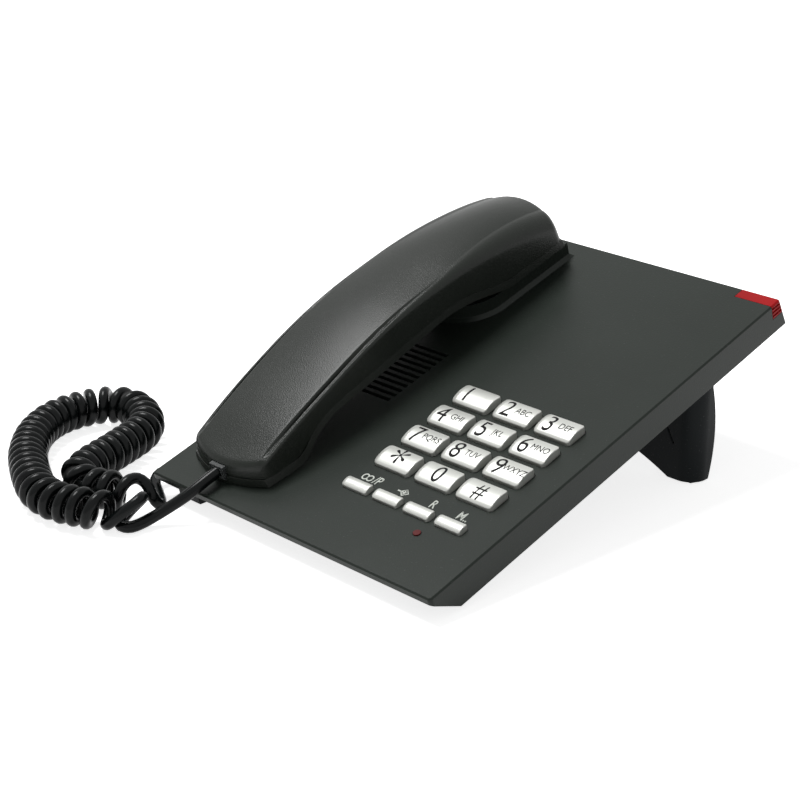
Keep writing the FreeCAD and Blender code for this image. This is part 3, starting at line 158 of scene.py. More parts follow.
def ring_faces(count: int, around: int, first: int = 0) -> list[list[int]]:
    """Join rings of points, each to the next, with four-cornered faces.

    Args:
        count: how many rings there are.
        around: how many points each ring has.
        first: the number of the first point.

    Returns:
        The numbers of each face's corners.
    """
    start = first + np.arange(count - 1)[:, None] * around
    here, after = start + np.arange(around), start + (np.arange(around) + 1) % around
    return np.stack([here, after, after + around, here + around], axis=-1).reshape(-1, 4).tolist()


def closed_mesh(name: str, points: np.ndarray, faces: list) -> Piece:
    """Make a closed mesh from slab frame points and their faces.

    Args:
        name: the piece's name.
        points: an array (points, 3), in millimetres.
        faces: the numbers of each face's corners.

    Returns:
        A new object at the origin, with smooth faces that point outwards.
    """
    mesh = bpy.data.meshes.new(name)
    mesh.from_pydata(from_slab(points).tolist(), [], faces)
    return cleaned(name, mesh)


def cleaned(name: str, mesh: Mesh, merge: float = 1e-6) -> Piece:
    """Merge a mesh's doubles, point its faces outwards and put it in the scene.

    Args:
        name: the piece's name.
        mesh: the mesh to clean.
        merge: points nearer than this, in metres, become one.

    Returns:
        The new object.
    """
    work = bmesh.new()
    work.from_mesh(mesh)
    bmesh.ops.remove_doubles(work, verts=work.verts, dist=merge)
    bmesh.ops.dissolve_degenerate(work, edges=work.edges, dist=merge)
    bmesh.ops.recalc_face_normals(work, faces=work.faces)
    work.to_mesh(mesh)
    work.free()
    mesh.shade_smooth()
    return placed(name, mesh)


def applied(piece: Piece) -> Piece:
    """Bake a piece's modifiers into its mesh and return the piece."""
    mesh = shown_mesh(piece)
    piece.modifiers.clear()
    piece.data = mesh
    return piece


def sharp_by_angle(piece: Piece, degrees: float) -> None:
    """Keep edges that turn more than an angle sharp, and shade the rest smooth."""
    piece.data.shade_smooth()
    piece.data.set_sharp_from_angle(angle=math.radians(degrees))


def settle(piece: Piece, body: str, finish: "Finish", *nodes: str) -> None:
    """Dress a piece, put it on its body and say which CAD nodes it stands for.

    Args:
        piece: the finished object.
        body: the body that it rides on.
        finish: the finish that it wears.
        nodes: the CAD nodes that it replaces.
    """
    piece.data.materials.clear()
    piece.data.materials.append(finish.material())
    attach(piece, body)
    if nodes:
        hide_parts(*nodes)
    log.info("%s rides on %s, wears %s, replaces %s", piece.name, body, finish.name,
             nodes or "nothing")


# Finishes


def set_inputs(node: Node, values: dict) -> None:
    """Set a node's inputs, given by name or number, to plain values."""
    for name, value in values.items():
        node.inputs[name].default_value = value


def add_node(tree: Tree, kind: str, values: dict | None = None, **settings: object) -> Node:
    """Add a shader node to a tree.

    Args:
        tree: the tree.
        kind: the node's type, such as TexNoise.
        values: its inputs' values, by name or number.
        **settings: its own settings, which are made before its values.

    Returns:
        The node.
    """
    node = tree.nodes.new("ShaderNode" + kind)
    for name, setting in settings.items():
        setattr(node, name, setting)
    set_inputs(node, values or {})
    return node


def wire(tree: Tree, *rows: tuple) -> None:
    """Link nodes: each row is a node, its output, the node that it feeds and the input there."""
    for source, out, target, entry in rows:
        tree.links.new(source.outputs[out], target.inputs[entry])


def new_group(name: str, *sockets: tuple) -> tuple[Tree, Node, Node]:
    """Make a node group with named sockets.

    Args:
        name: the group's name.
        *sockets: rows of a socket's name, kind and way, and its default value if it has one.

    Returns:
        The group and the nodes that hold its inputs and its outputs.
    """
    group = bpy.data.node_groups.new(name, "ShaderNodeTree")
    for label, kind, way, *value in sockets:
        made = group.interface.new_socket(name=label, in_out=way, socket_type="NodeSocket" + kind)
        if value:
            made.default_value = value[0]
    return group, group.nodes.new("NodeGroupInput"), group.nodes.new("NodeGroupOutput")


@cache
def moulded_grain() -> Tree:
    """Make, once, the group that gives moulded plastic its fine grain and cloudy tone.

    Returns:
        A node group whose Height is a fine pebble grain and whose Cloud is a slow, faint drift.
    """
    group, entry, leave = new_group(
        "moulded_grain",
        ("Vector", "Vector", "INPUT"),
        ("Grains per metre", "Float", "INPUT", 2000.0),
        ("Clouds per metre", "Float", "INPUT", 25.0),
        ("Height", "Float", "OUTPUT"),
        ("Cloud", "Float", "OUTPUT"),
    )
    pebbles = add_node(group, "TexVoronoi", feature="SMOOTH_F1")
    grit = add_node(group, "TexNoise", {"Detail": 3.0})
    blend = add_node(group, "Mix", {"Factor": 0.45})
    cloud = add_node(group, "TexNoise", {"Detail": 4.0, "Roughness": 0.6})
    wire(
        group,
        *((entry, "Vector", texture, "Vector") for texture in (pebbles, grit, cloud)),
        (entry, "Grains per metre", pebbles, "Scale"),
        (entry, "Grains per metre", grit, "Scale"),
        (entry, "Clouds per metre", cloud, "Scale"),
        (pebbles, "Distance", blend, "A"),
        (grit, "Fac", blend, "B"),
        (blend, "Result", leave, "Height"),
        (cloud, "Fac", leave, "Cloud"),
    )
    return group


@cache
def fine_dust() -> Tree:
    """Make, once, the group that lays sparse pale specks over a colour.

    Returns:
        A node group whose Colour is the one put in, mixed with the dust's where a noise peaks.
    """
    group, entry, leave = new_group(
        "fine_dust",
        ("Vector", "Vector", "INPUT"),
        ("Colour", "Color", "INPUT", (0.1, 0.1, 0.1, 1.0)),
        ("Dust colour", "Color", "INPUT", (0.5, 0.5, 0.48, 1.0)),
        ("Amount", "Float", "INPUT", 0.2),
        ("Colour", "Color", "OUTPUT"),
    )
    specks = add_node(group, "TexNoise", {"Scale": 1400.0, "Detail": 2.0})
    peaks = add_node(group, "MapRange", {"From Min": 0.66, "From Max": 0.82})
    share = add_node(group, "Math", operation="MULTIPLY")
    mix = add_node(group, "Mix", data_type="RGBA")
    wire(
        group,
        (entry, "Vector", specks, "Vector"),
        (specks, "Fac", peaks, "Value"),
        (peaks, "Result", share, 0),
        (entry, "Amount", share, 1),
        (share, "Value", mix, "Factor"),
        (entry, "Colour", mix, "A"),
        (entry, "Dust colour", mix, "B"),
        (mix, "Result", leave, "Colour"),
    )
    return group


@dataclass(frozen=True)
class Finish:
    """One finish: a Principled surface whose colour, roughness and grain vary over it.

    Colours are linear. The grain's depth is in millimetres. Ink has no slot of its own.
    """

    name: str
    slot: str | None
    colour: tuple[float, float, float]
    roughness: float
    drift: float = 0.08
    roughness_drift: float = 0.06
    grains_per_metre: float = 2200.0
    grain_depth: float = 0.03
    dust: float = 0.1
    metallic: float = 0.0
    specular: float = 0.5
    transmission: float = 0.0

    @cache
    def material(self) -> bpy.types.Material:
        """Make this finish's material, the first time it is asked for.

        The cloud drifts the colour and the roughness, the dust lies over the colour, and the
        grain's height bends the normal.

        Returns:
            The material.
        """
        made = bpy.data.materials.new(self.name)
        made.use_nodes = True
        tree = made.node_tree
        dark = [part * (1 - self.drift) for part in self.colour]
        pale = [min(part * (1 + self.drift), 1.0) for part in self.colour]
        surface = tree.nodes["Principled BSDF"]
        set_inputs(surface, {"Metallic": self.metallic, "Specular IOR Level": self.specular,
                             "Transmission Weight": self.transmission})
        place = add_node(tree, "TexCoord")
        grain = add_node(tree, "Group", {"Grains per metre": self.grains_per_metre},
                         node_tree=moulded_grain())
        tone = add_node(tree, "Mix", {"A": (*dark, 1.0), "B": (*pale, 1.0)}, data_type="RGBA")
        dust = add_node(tree, "Group", {"Amount": self.dust}, node_tree=fine_dust())
        spread = add_node(tree, "MapRange", {
            "To Min": max(self.roughness - self.roughness_drift, 0.02),
            "To Max": min(self.roughness + self.roughness_drift, 1.0),
        })
        bump = add_node(tree, "Bump", {"Distance": self.grain_depth * MM})
        wire(
            tree,
            (place, "Object", grain, "Vector"),
            (place, "Object", dust, "Vector"),
            (grain, "Cloud", tone, "Factor"),
            (tone, "Result", dust, "Colour"),
            (dust, "Colour", surface, "Base Color"),
            (grain, "Cloud", spread, "Value"),
            (spread, "Result", surface, "Roughness"),
            (grain, "Height", bump, "Height"),
            (bump, "Normal", surface, "Normal"),
        )
        return made


BASE_FINISH = Finish("base_satin_plastic", "base_plastic", (0.017, 0.022, 0.018), 0.34,
                     grains_per_metre=1700.0, grain_depth=0.04, dust=0.06, specular=0.15)
COVER_FINISH = Finish("cover_dark_plastic", "cover_plastic", (0.005, 0.007, 0.008), 0.4,
                      specular=0.1)
HANDSET_FINISH = Finish("handset_grained_plastic", "handset_plastic", (0.009, 0.012, 0.009), 0.33,
                        grains_per_metre=2300.0, grain_depth=0.1, dust=0.07, specular=0.24)
KEY_FINISH = Finish("key_silver_paint", "key_silver", (0.60, 0.61, 0.575), 0.34, drift=0.03,
                    grains_per_metre=6000.0, grain_depth=0.01, dust=0.0, metallic=0.35)
CORD_FINISH = Finish("cord_glossy_jacket", "cord_jacket", (0.003, 0.004, 0.004), 0.24,
                     grains_per_metre=700.0, grain_depth=0.02, dust=0.02, specular=0.13)
LENS_FINISH = Finish("lens_clear_red", "red_lens", (0.36, 0.008, 0.010), 0.35, drift=0.3, dust=0.0,
                     grain_depth=0.004, specular=0.08)
# Painted shade: the clear plugs' colour is darkened to stand in for the shade of the dark socket
# that they sit in.
PLUG_PAINTED_SHADE_FINISH = Finish("plug_clear_plastic_painted_shade", "clear_plastic", (0.12, 0.13, 0.13), 0.12, dust=0.0,
                     roughness_drift=0.02, grain_depth=0.0, transmission=0.6)
LAMP_FINISH = Finish("indicator_dull_red", "led_red", (0.10, 0.010, 0.010), 0.3, dust=0.0,
                     grain_depth=0.004, specular=0.15)
RUBBER_FINISH = Finish("foot_dark_rubber", "dark_rubber", (0.02, 0.02, 0.02), 0.8)
BOARD_FINISH = Finish("board_green_laminate", "board_green", (0.02, 0.12, 0.05), 0.4)
SPEAKER_FINISH = Finish("speaker_dark_paper", "speaker_dark", (0.015, 0.015, 0.015), 0.8)
STEEL_FINISH = Finish("screw_zinc_steel", "screw_steel", (0.5, 0.5, 0.5), 0.35, metallic=1.0,
                      dust=0.0)
SPRING_FINISH = Finish("spring_bright_steel", "spring_steel", (0.6, 0.6, 0.6), 0.25, metallic=1.0,
                       dust=0.0)
LED_FINISH = Finish("ring_led_clear", "led_white", (0.75, 0.75, 0.72), 0.2, dust=0.0)
INK_FINISH = Finish("legend_black_ink", None, (0.010, 0.009, 0.010), 0.6, dust=0.0, grain_depth=0.0,
                    specular=0.1)
LETTER_FINISH = Finish("legend_grey_ink", None, (0.014, 0.014, 0.015), 0.6, dust=0.0,
                       grain_depth=0.0, specular=0.1)
LABEL_FINISH = Finish("label_pale_ink", None, (0.55, 0.58, 0.53), 0.5, dust=0.0, grain_depth=0.0)


# Pieces

FLAT_ANGLE = 0.6
EDGE_ANGLE = 28.0
EDGE_STEPS = 3
INK_STRIP = 0.7


def finished_copy(node: str, bevel: float) -> Piece:
    """Copy a CAD node's mesh, join its flat triangles and round its edges.

    Args:
        node: the CAD node.
        bevel: how wide its edges are rounded, in millimetres.

    Returns:
        The new object, with its modifiers baked in.
    """
    piece = cleaned(node + "_finished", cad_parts[node].data.copy(), merge=2e-6)
    work = bmesh.new()
    work.from_mesh(piece.data)
    bmesh.ops.dissolve_limit(work, angle_limit=math.radians(FLAT_ANGLE), verts=work.verts,
                             edges=work.edges)
    work.to_mesh(piece.data)
    work.free()
    rounding = piece.modifiers.new("edges", "BEVEL")
    rounding.width = bevel * MM
    rounding.segments = EDGE_STEPS
    rounding.limit_method = "ANGLE"
    rounding.angle_limit = math.radians(EDGE_ANGLE)
    rounding.use_clamp_overlap = True
    flat = piece.modifiers.new("flat_faces", "WEIGHTED_NORMAL")
    flat.mode = "FACE_AREA"
    flat.weight = 100
    return applied(piece)


@dataclass
class Handset:
    """The arched handset: a smooth upper shell over the frame's own lower shell.

    Along Y, the upper shell's cross section is a closed loop: a flat base, sides that lean in,
    round top corners and a crowned top. Its ends are leaning round faces with soft rims. The
    tables give a value at each y, in the slab frame.
    """

    parting: float = 3.3
    parting_gap: float = 0.15
    front_y: float = 10.6
    front_lean: float = 6.0
    mouth_setback: float = 3.0
    front_radius: float = 37.0
    rear_y: float = 199.5
    rear_lean: float = 11.0
    rear_radius: float = 45.0
    rest_height: float = 0.2
    ear_height: float = 8.3
    least_radius: float = 0.15
    least_height: float = 0.4
    front_rounding: float = 2.4
    rear_rounding: float = 2.2
    lower_edge: float = 0.3
    plug_edge: float = 0.25
    socket_height: float = 4.4
    socket_half: tuple = (4.1, 3.3)
    socket_below: float = 2.0
    socket_reach: tuple = (-6.0, 21.0)
    underside: tuple = (
        (-5, 0.2), (28, 0.2), (31, 0.25), (35, 1.4), (38, 3.0), (42, 5.4), (46, 7.4), (50, 8.9),
        (54, 9.9), (58.5, 10.6), (70, 11.55), (90, 13.15), (110, 14.7), (118, 15.15), (126, 15.2),
        (134, 14.4), (142, 12.6), (150, 10.5), (156, 9.0), (159, 8.45), (162, 8.3), (215, 8.3))
    top_line: tuple = (
        (4, 5.7), (14.5, 8.7), (20.7, 10.8), (30, 14.0), (40.7, 17.2), (57.2, 21.5), (70.6, 24.7),
        (97, 29.2), (120, 31.0), (137.8, 31.9), (152, 31.7), (167, 30.4), (184.8, 27.2),
        (196.6, 23.8), (206, 20.4))
    crease: tuple = (
        (4, 19.6), (20, 20.2), (57, 21.2), (97, 21.3), (137, 21.4), (167, 21.4), (188, 21.4),
        (206, 21.2))
    sill_half: tuple = ((4, 22.4), (20, 22.4), (57, 22.5), (137, 22.5), (167, 22.4), (206, 22.4))
    sill: tuple = (
        (4, -6.0), (20, -3.0), (57, 4.0), (97, 9.0), (137, 8.0), (167, 4.0), (188, 3.0),
        (206, 2.0))
    corner: tuple = (
        (4, 1.1), (60, 1.1), (90, 1.5), (115, 2.8), (140, 5.2), (165, 7.6), (190, 8.8), (206, 9.0))
    crown: tuple = ((4, 0.4), (20, 0.7), (57, 1.1), (97, 1.5), (137, 2.0), (167, 2.5), (206, 2.6))
    shoulder_rise: tuple = ((4, 0.6), (90, 0.6), (140, 0.0), (206, 0.0))
    groove: tuple = ((4, 0.0), (19, 0.0), (24, 0.5), (95, 0.5), (135, 0.0), (206, 0.0))
    groove_inset: float = 2.3
    groove_width: float = 0.5
    lower_widening: float = 0.7
    widening_start: float = 17.0
    widening_reach: float = 3.0
    lower_lean: float = 0.34
    setback_end: float = 26.0
    setback_reach: float = 16.0
    base_steps: int = 4
    side_steps: int = 8
    arc_steps: int = 12
    crown_shares: tuple = (
        0.0, 0.014, 0.028, 0.04, 0.05, 0.058, 0.066, 0.074, 0.082, 0.092, 0.105, 0.12, 0.15, 0.22,
        0.34, 0.5, 0.75)
    rim_steps: int = 8
    length_steps: int = 120
    guess_start: float = 5.0
    guess_span: float = 180.0
    passes: int = 10

    def front_face(self, x: np.ndarray, z: np.ndarray) -> np.ndarray:
        """Y of the front face: a round column that leans back as it rises."""
        lean = math.radians(self.front_lean)
        bulge = self.front_radius - np.sqrt(self.front_radius**2 - x**2) / math.cos(lean)
        return self.front_y + (z - self.rest_height) * math.tan(lean) + bulge

    def rear_face(self, x: np.ndarray, z: np.ndarray) -> np.ndarray:
        """Y of the rear face: a round column that leans forwards as it rises."""
        lean = math.radians(self.rear_lean)
        bulge = self.rear_radius - np.sqrt(self.rear_radius**2 - x**2) / math.cos(lean)
        return self.rear_y - (z - self.ear_height) * math.tan(lean) - bulge

    def section(self, y: np.ndarray, run: np.ndarray, share: np.ndarray,
                inset: np.ndarray) -> tuple[np.ndarray, np.ndarray]:
        """X (from the handset's middle) and Z of the upper shell's right half section.

        The side is the line from the sill to the crease. Drawn in by an inset, the crease
        moves along the mitre of the side and the top, so both stay parallel to themselves.

        Args:
            y: where along the handset each point is.
            run: which stretch each point is on: 0 base, 1 side, 2 corner, 3 crown.
            share: how far along its stretch each point is, from 0 to 1.
            inset: how far the section is drawn in.

        Returns:
            The arrays x and z.
        """
        top = smooth_line(self.top_line, y)
        half = smooth_line(self.crease, y)
        lean = np.arctan2(smooth_line(self.sill_half, y) - half, top - smooth_line(self.sill, y))
        base = smooth_line(self.underside, y) + self.parting + self.parting_gap
        radius = np.maximum(smooth_line(self.corner, y) - inset, self.least_radius)
        half = half - inset * np.cos(lean) / (1 + np.sin(lean))
        top = np.maximum(top - inset, base + self.least_height)
        reach = radius * np.tan((np.pi / 2 - lean) / 2)
        start_x = half + np.sin(lean) * reach
        start_z = top - np.cos(lean) * reach
        base_x = half + np.tan(lean) * (top - base)
        turn = lean + (np.pi / 2 - lean) * share
        across = 1 - share
        inward = reach + (half - reach) * share
        rise = smooth_line(self.shoulder_rise, y) * np.clip(inward / self.groove_inset - 0.3, 0, 1)
        off_groove = (inward - self.groove_inset) / self.groove_width
        dip = smooth_line(self.groove, y) * np.exp(-off_groove ** 2)
        x = np.choose(run, [
            base_x * share,
            base_x + (start_x - base_x) * share,
            half - reach + radius * np.cos(turn),
            (half - reach) * across,
        ])
        z = np.choose(run, [
            base,
            base + (start_z - base) * share,
            top - radius + radius * np.sin(turn),
            top + smooth_line(self.crown, y) * (1 - across**2) + rise - dip,
        ])
        return x, z

    def end_rings(self, rounding: float) -> np.ndarray:
        """The rings from an end face's middle to where its rim ends.

        Args:
            rounding: the rim's radius.

        Returns:
            Rows of the rings' travel along the handset, scale, inset and distance from the face.
        """
        quarter = np.radians(np.linspace(0, 90, self.rim_steps))
        shrink = np.linspace(0, 1, self.rim_steps)[:-1]
        none, whole = np.zeros(len(shrink)), np.ones(len(quarter))
        return np.array([
            np.append(none, 0 * whole),
            np.append(shrink, whole),
            np.append(none + rounding, rounding * (1 - np.sin(quarter))),
            np.append(none, rounding * (1 - np.cos(quarter))),
        ])

    def upper_shell(self) -> Piece:
        """Carry the section along the handset between its two end faces.

        Each ring keeps its distance from the front or the rear face. Near an end, rings are
        drawn in along a quarter round, and inside it they shrink to the face's middle. A point's
        y follows from the faces at its x and z, and those from its y, so a first guess is
        corrected in a few passes.

        Returns:
            The closed shell.
        """
        counts = (self.base_steps, self.side_steps, self.arc_steps, len(self.crown_shares))
        run = np.concatenate([np.full(count, number) for number, count in enumerate(counts)])
        share = np.concatenate([np.arange(count) / count for count in counts[:3]]
                               + [self.crown_shares])
        run = np.concatenate([run, [3], run[:0:-1]])
        share = np.concatenate([share, [1.0], share[:0:-1]])
        side = np.ones(len(run))
        side[sum(counts) + 1:] = -1
        both = self.front_rounding + self.rear_rounding
        front = self.end_rings(self.front_rounding)
        along = np.zeros((4, self.length_steps - 2))
        along[1:] = [[1.0], [0.0], [self.front_rounding]]
        along[0] = np.linspace(0, 1, self.length_steps)[1:-1]
        rear = self.end_rings(self.rear_rounding)[:, ::-1]
        rear[0], rear[3] = 1.0, both - rear[3]
        travel, scale, inset, push = np.hstack([front, along, rear])[..., None]
        shape = (push.shape[0], len(run))
        runs = np.broadcast_to(run, shape)
        shares = np.broadcast_to(share, shape)
        y = np.broadcast_to(self.front_y + self.guess_start + travel * self.guess_span, shape)
        for _ in range(self.passes):
            x, z = self.section(y, runs, shares, inset)
            x = x * side * scale
            middle = (z.min(axis=1) + z.max(axis=1))[:, None] / 2
            z = middle + (z - middle) * scale
            near = self.front_face(x, z)
            far = self.rear_face(x, z)
            y = near + push + travel * (far - near - both)
        points = np.stack([x + HANDSET_X, y, z], axis=-1).reshape(-1, 3)
        shell = closed_mesh("handset_upper_shell_outer", points, ring_faces(*shape))
        self.open_socket(shell)
        sharp_by_angle(shell, 40.0)
        return shell

    def open_socket(self, shell: Piece) -> None:
        """Cut the plug's square pocket into the mouth end, open in front and below.

        Args:
            shell: the closed shell, which is cut in place.
        """
        half_x, half_z = self.socket_half
        x = HANDSET_X + np.array([-half_x, half_x])
        z = self.socket_height + np.array([-half_z - self.socket_below, half_z])
        corners = np.stack(np.meshgrid(x, self.socket_reach, z, indexing="ij"), axis=-1)
        faces = [(0, 1, 3, 2), (4, 6, 7, 5), (0, 4, 5, 1), (2, 3, 7, 6), (0, 2, 6, 4), (1, 5, 7, 3)]
        cutter = closed_mesh("socket_cutter", corners.reshape(-1, 3), faces)
        cut = shell.modifiers.new("socket", "BOOLEAN")
        cut.operation = "DIFFERENCE"
        cut.solver = "EXACT"
        cut.object = cutter
        applied(shell)
        bpy.data.objects.remove(cutter)

    def lower_shell(self) -> Piece:
        """Finish the frame's lower shell, its flanks and mouth end moved to the upper shell's."""
        def change(points: np.ndarray) -> None:
            """Set the flanks out, and the mouth end back and more upright."""
            aside = points[:, 0] - HANDSET_X
            flank = np.clip((np.abs(aside) - self.widening_start) / self.widening_reach, 0, 1)
            points[:, 0] += np.sign(aside) * flank * self.lower_widening
            straighter = self.lower_lean * (points[:, 2] - self.rest_height)
            mouth = np.clip((self.setback_end - points[:, 1]) / self.setback_reach, 0, 1)
            points[:, 1] += (self.mouth_setback - straighter) * mouth

        return reshape_in_slab(finished_copy("handset_lower_shell", self.lower_edge), change)

    def plug(self) -> Piece:
        """Finish the frame's plug, set back with the mouth end."""
        def change(points: np.ndarray) -> None:
            """Set the plug back."""
            points[:, 1] += self.mouth_setback

        return reshape_in_slab(finished_copy("handset_end_plug", self.plug_edge), change)

    def build(self) -> None:
        """Make and place the handset's pieces."""
        body = Body.HANDSET.value
        settle(self.upper_shell(), body, HANDSET_FINISH, "handset_upper_shell")
        settle(self.lower_shell(), body, HANDSET_FINISH, "handset_lower_shell")
        settle(self.plug(), body, PLUG_PAINTED_SHADE_FINISH, "handset_end_plug")


@dataclass
class Key:
    """One key: a cap with round corners, a soft rim and a barrel crown."""

    name: str
    left: float
    front: float
    width: float
    depth: float
    height: float
    crown: float
    corner: float = 1.4
    rim: float = 0.38
    foot: float = -2.25
    ridge: float = 0.22
    inner_steps: int = 12

    def top(self, y: np.ndarray) -> np.ndarray:
        """Height of the crowned top at y from the key's middle: a low arch, highest behind it."""
        half = self.depth / 2
        return self.height - self.crown * ((y / half - self.ridge) / (1 + self.ridge)) ** 2

    def line(self, half: float) -> np.ndarray:
        """Places from one edge to the other, close together where the rim turns down."""
        rim = half - self.rim * (1 - np.sin(np.radians([90, 72, 54, 36, 18])))
        inner = np.linspace(-half + self.rim, half - self.rim, self.inner_steps + 1)[1:-1]
        edge = half - self.rim
        return np.concatenate([-rim[::-1], [-edge], inner, [edge], rim[:0:-1], rim[:1]])

    def build(self) -> None:
        """Make the cap: a grid over its rounded outline, whose border is carried down to the foot.

        A row's half width follows the round corners. The rim's drop is that of a quarter round
        over the distance that a point lies inside the outline. The cap rides on its own body.
        """
        half_x, half_y = self.width / 2, self.depth / 2
        u, y = np.meshgrid(self.line(half_x) / half_x, self.line(half_y))
        past = np.maximum(np.abs(y) - (half_y - self.corner), 0)
        x = u * (half_x - self.corner + np.sqrt(np.maximum(self.corner**2 - past**2, 0)))
        out_x = np.abs(x) - (half_x - self.corner)
        out_y = np.abs(y) - (half_y - self.corner)
        outside = np.hypot(np.maximum(out_x, 0), np.maximum(out_y, 0))
        edge = outside + np.minimum(np.maximum(out_x, out_y), 0) - self.corner
        roll = np.clip((edge + self.rim) / self.rim, 0, 1)
        z = self.top(y) - self.rim * (1 - np.sqrt(1 - roll**2))
        rows, columns = x.shape
        number = np.arange(rows * columns).reshape(rows, columns)
        cells = np.stack([number[:-1, :-1], number[:-1, 1:], number[1:, 1:], number[1:, :-1]],
                         axis=-1)
        border = np.concatenate([number[0, :-1], number[:-1, -1], number[-1, :0:-1],
                                 number[:0:-1, 0]])
        top = np.stack([x, y, z], axis=-1).reshape(-1, 3)
        skirt = top[border] * [1, 1, 0] + [0, 0, self.foot]
        below = rows * columns + np.arange(len(border))
        walls = np.stack([border, below, np.roll(below, -1), np.roll(border, -1)], axis=-1)
        middle = np.array([self.left + half_x, self.front + half_y, 0.0])
        points = np.concatenate([top, skirt]) + middle
        faces = [*cells.reshape(-1, 4).tolist(), *walls.tolist(), below.tolist()]
        piece = closed_mesh(self.name + "_cap", points, faces)
        sharp_by_angle(piece, 50.0)
        settle(piece, self.name, KEY_FINISH, self.name)


def ink(name: str, words: str, size: float, middle: tuple[float, float],
        surface: Callable[[np.ndarray], np.ndarray], rise: float, stretch: float,
        bolder: float = 0.0) -> Piece:
    """Print characters on a surface as a thin raised mesh.

    Args:
        name: the piece's name.
        words: the characters.
        size: the type size, in millimetres.
        middle: x and y of the characters' middle, in the slab frame.
        surface: gives the height of the surface at y, in the slab frame.
        rise: how far the ink stands proud.
        stretch: the characters' width as a share of the usual.
        bolder: how much the strokes are set out, as a share of the size.

    Returns:
        The ink's mesh object, cut into strips that bend with the surface.
    """
    curve = bpy.data.curves.new(name, "FONT")
    curve.body = words
    curve.size = size
    curve.align_x = "CENTER"
    curve.align_y = "CENTER"
    curve.offset = bolder * size
    curve.resolution_u = 6
    flat = placed(name, curve)
    mesh = shown_mesh(flat)
    bpy.data.objects.remove(flat)
    work = bmesh.new()
    work.from_mesh(mesh)
    bmesh.ops.remove_doubles(work, verts=work.verts, dist=1e-4)
    reach = size * 0.8
    for cut in np.arange(-reach, reach, INK_STRIP):
        bmesh.ops.bisect_plane(work, geom=work.verts[:] + work.edges[:] + work.faces[:],
                               plane_co=(0, cut, 0), plane_no=(0, 1, 0))
    bmesh.ops.recalc_face_normals(work, faces=work.faces)
    outer = bmesh.ops.extrude_face_region(work, geom=work.faces[:])
    for part in outer["geom"]:
        if isinstance(part, bmesh.types.BMVert):
            part.co.z += rise
    bmesh.ops.recalc_face_normals(work, faces=work.faces)
    work.to_mesh(mesh)
    work.free()
    points = read_points(mesh)
    points[:, 0] *= stretch
    points[:, :2] += middle
    points[:, 2] = surface(points[:, 1]) + np.where(points[:, 2] > rise / 2, rise, -rise)
    write_points(mesh, points)
    return placed(name, mesh)


def sign(name: str, strokes: list[np.ndarray], width: float, rise: float) -> Piece:
    """Print pen strokes on the slab's flat top as thin raised strips.

    Each stroke is a line of points. Its strip reaches half the width to either side along
    the mean normal of the line at each point.

    Args:
        name: the piece's name.
        strokes: arrays of points (points, 2), in the slab frame.
        width: how wide the strokes are.
        rise: how far they stand proud.

    Returns:
        The strips' mesh object.
    """
    points, faces = [], []
    first = 0
    for line in strokes:
        ahead = np.gradient(line, axis=0)
        if np.allclose(line[0], line[-1]):
            ahead[0] = ahead[-1] = line[1] - line[-2]
        ahead = ahead / np.linalg.norm(ahead, axis=1)[:, None]
        out = np.stack([-ahead[:, 1], ahead[:, 0]], axis=-1) * width / 2
        corners = ((out, rise), (-out, rise), (-out, -rise), (out, -rise))
        ring = np.stack([np.column_stack([line + aside, np.full(len(line), height)])
                         for aside, height in corners], axis=1)
        last = first + 4 * len(line) - 4
        faces += ring_faces(len(line), 4, first)
        faces += [list(range(end, end + 4)) for end in (first, last)]
        points.append(ring.reshape(-1, 3))
        first = last + 4
    piece = closed_mesh(name, np.concatenate(points), faces)
    sharp_by_angle(piece, 40.0)
    return piece


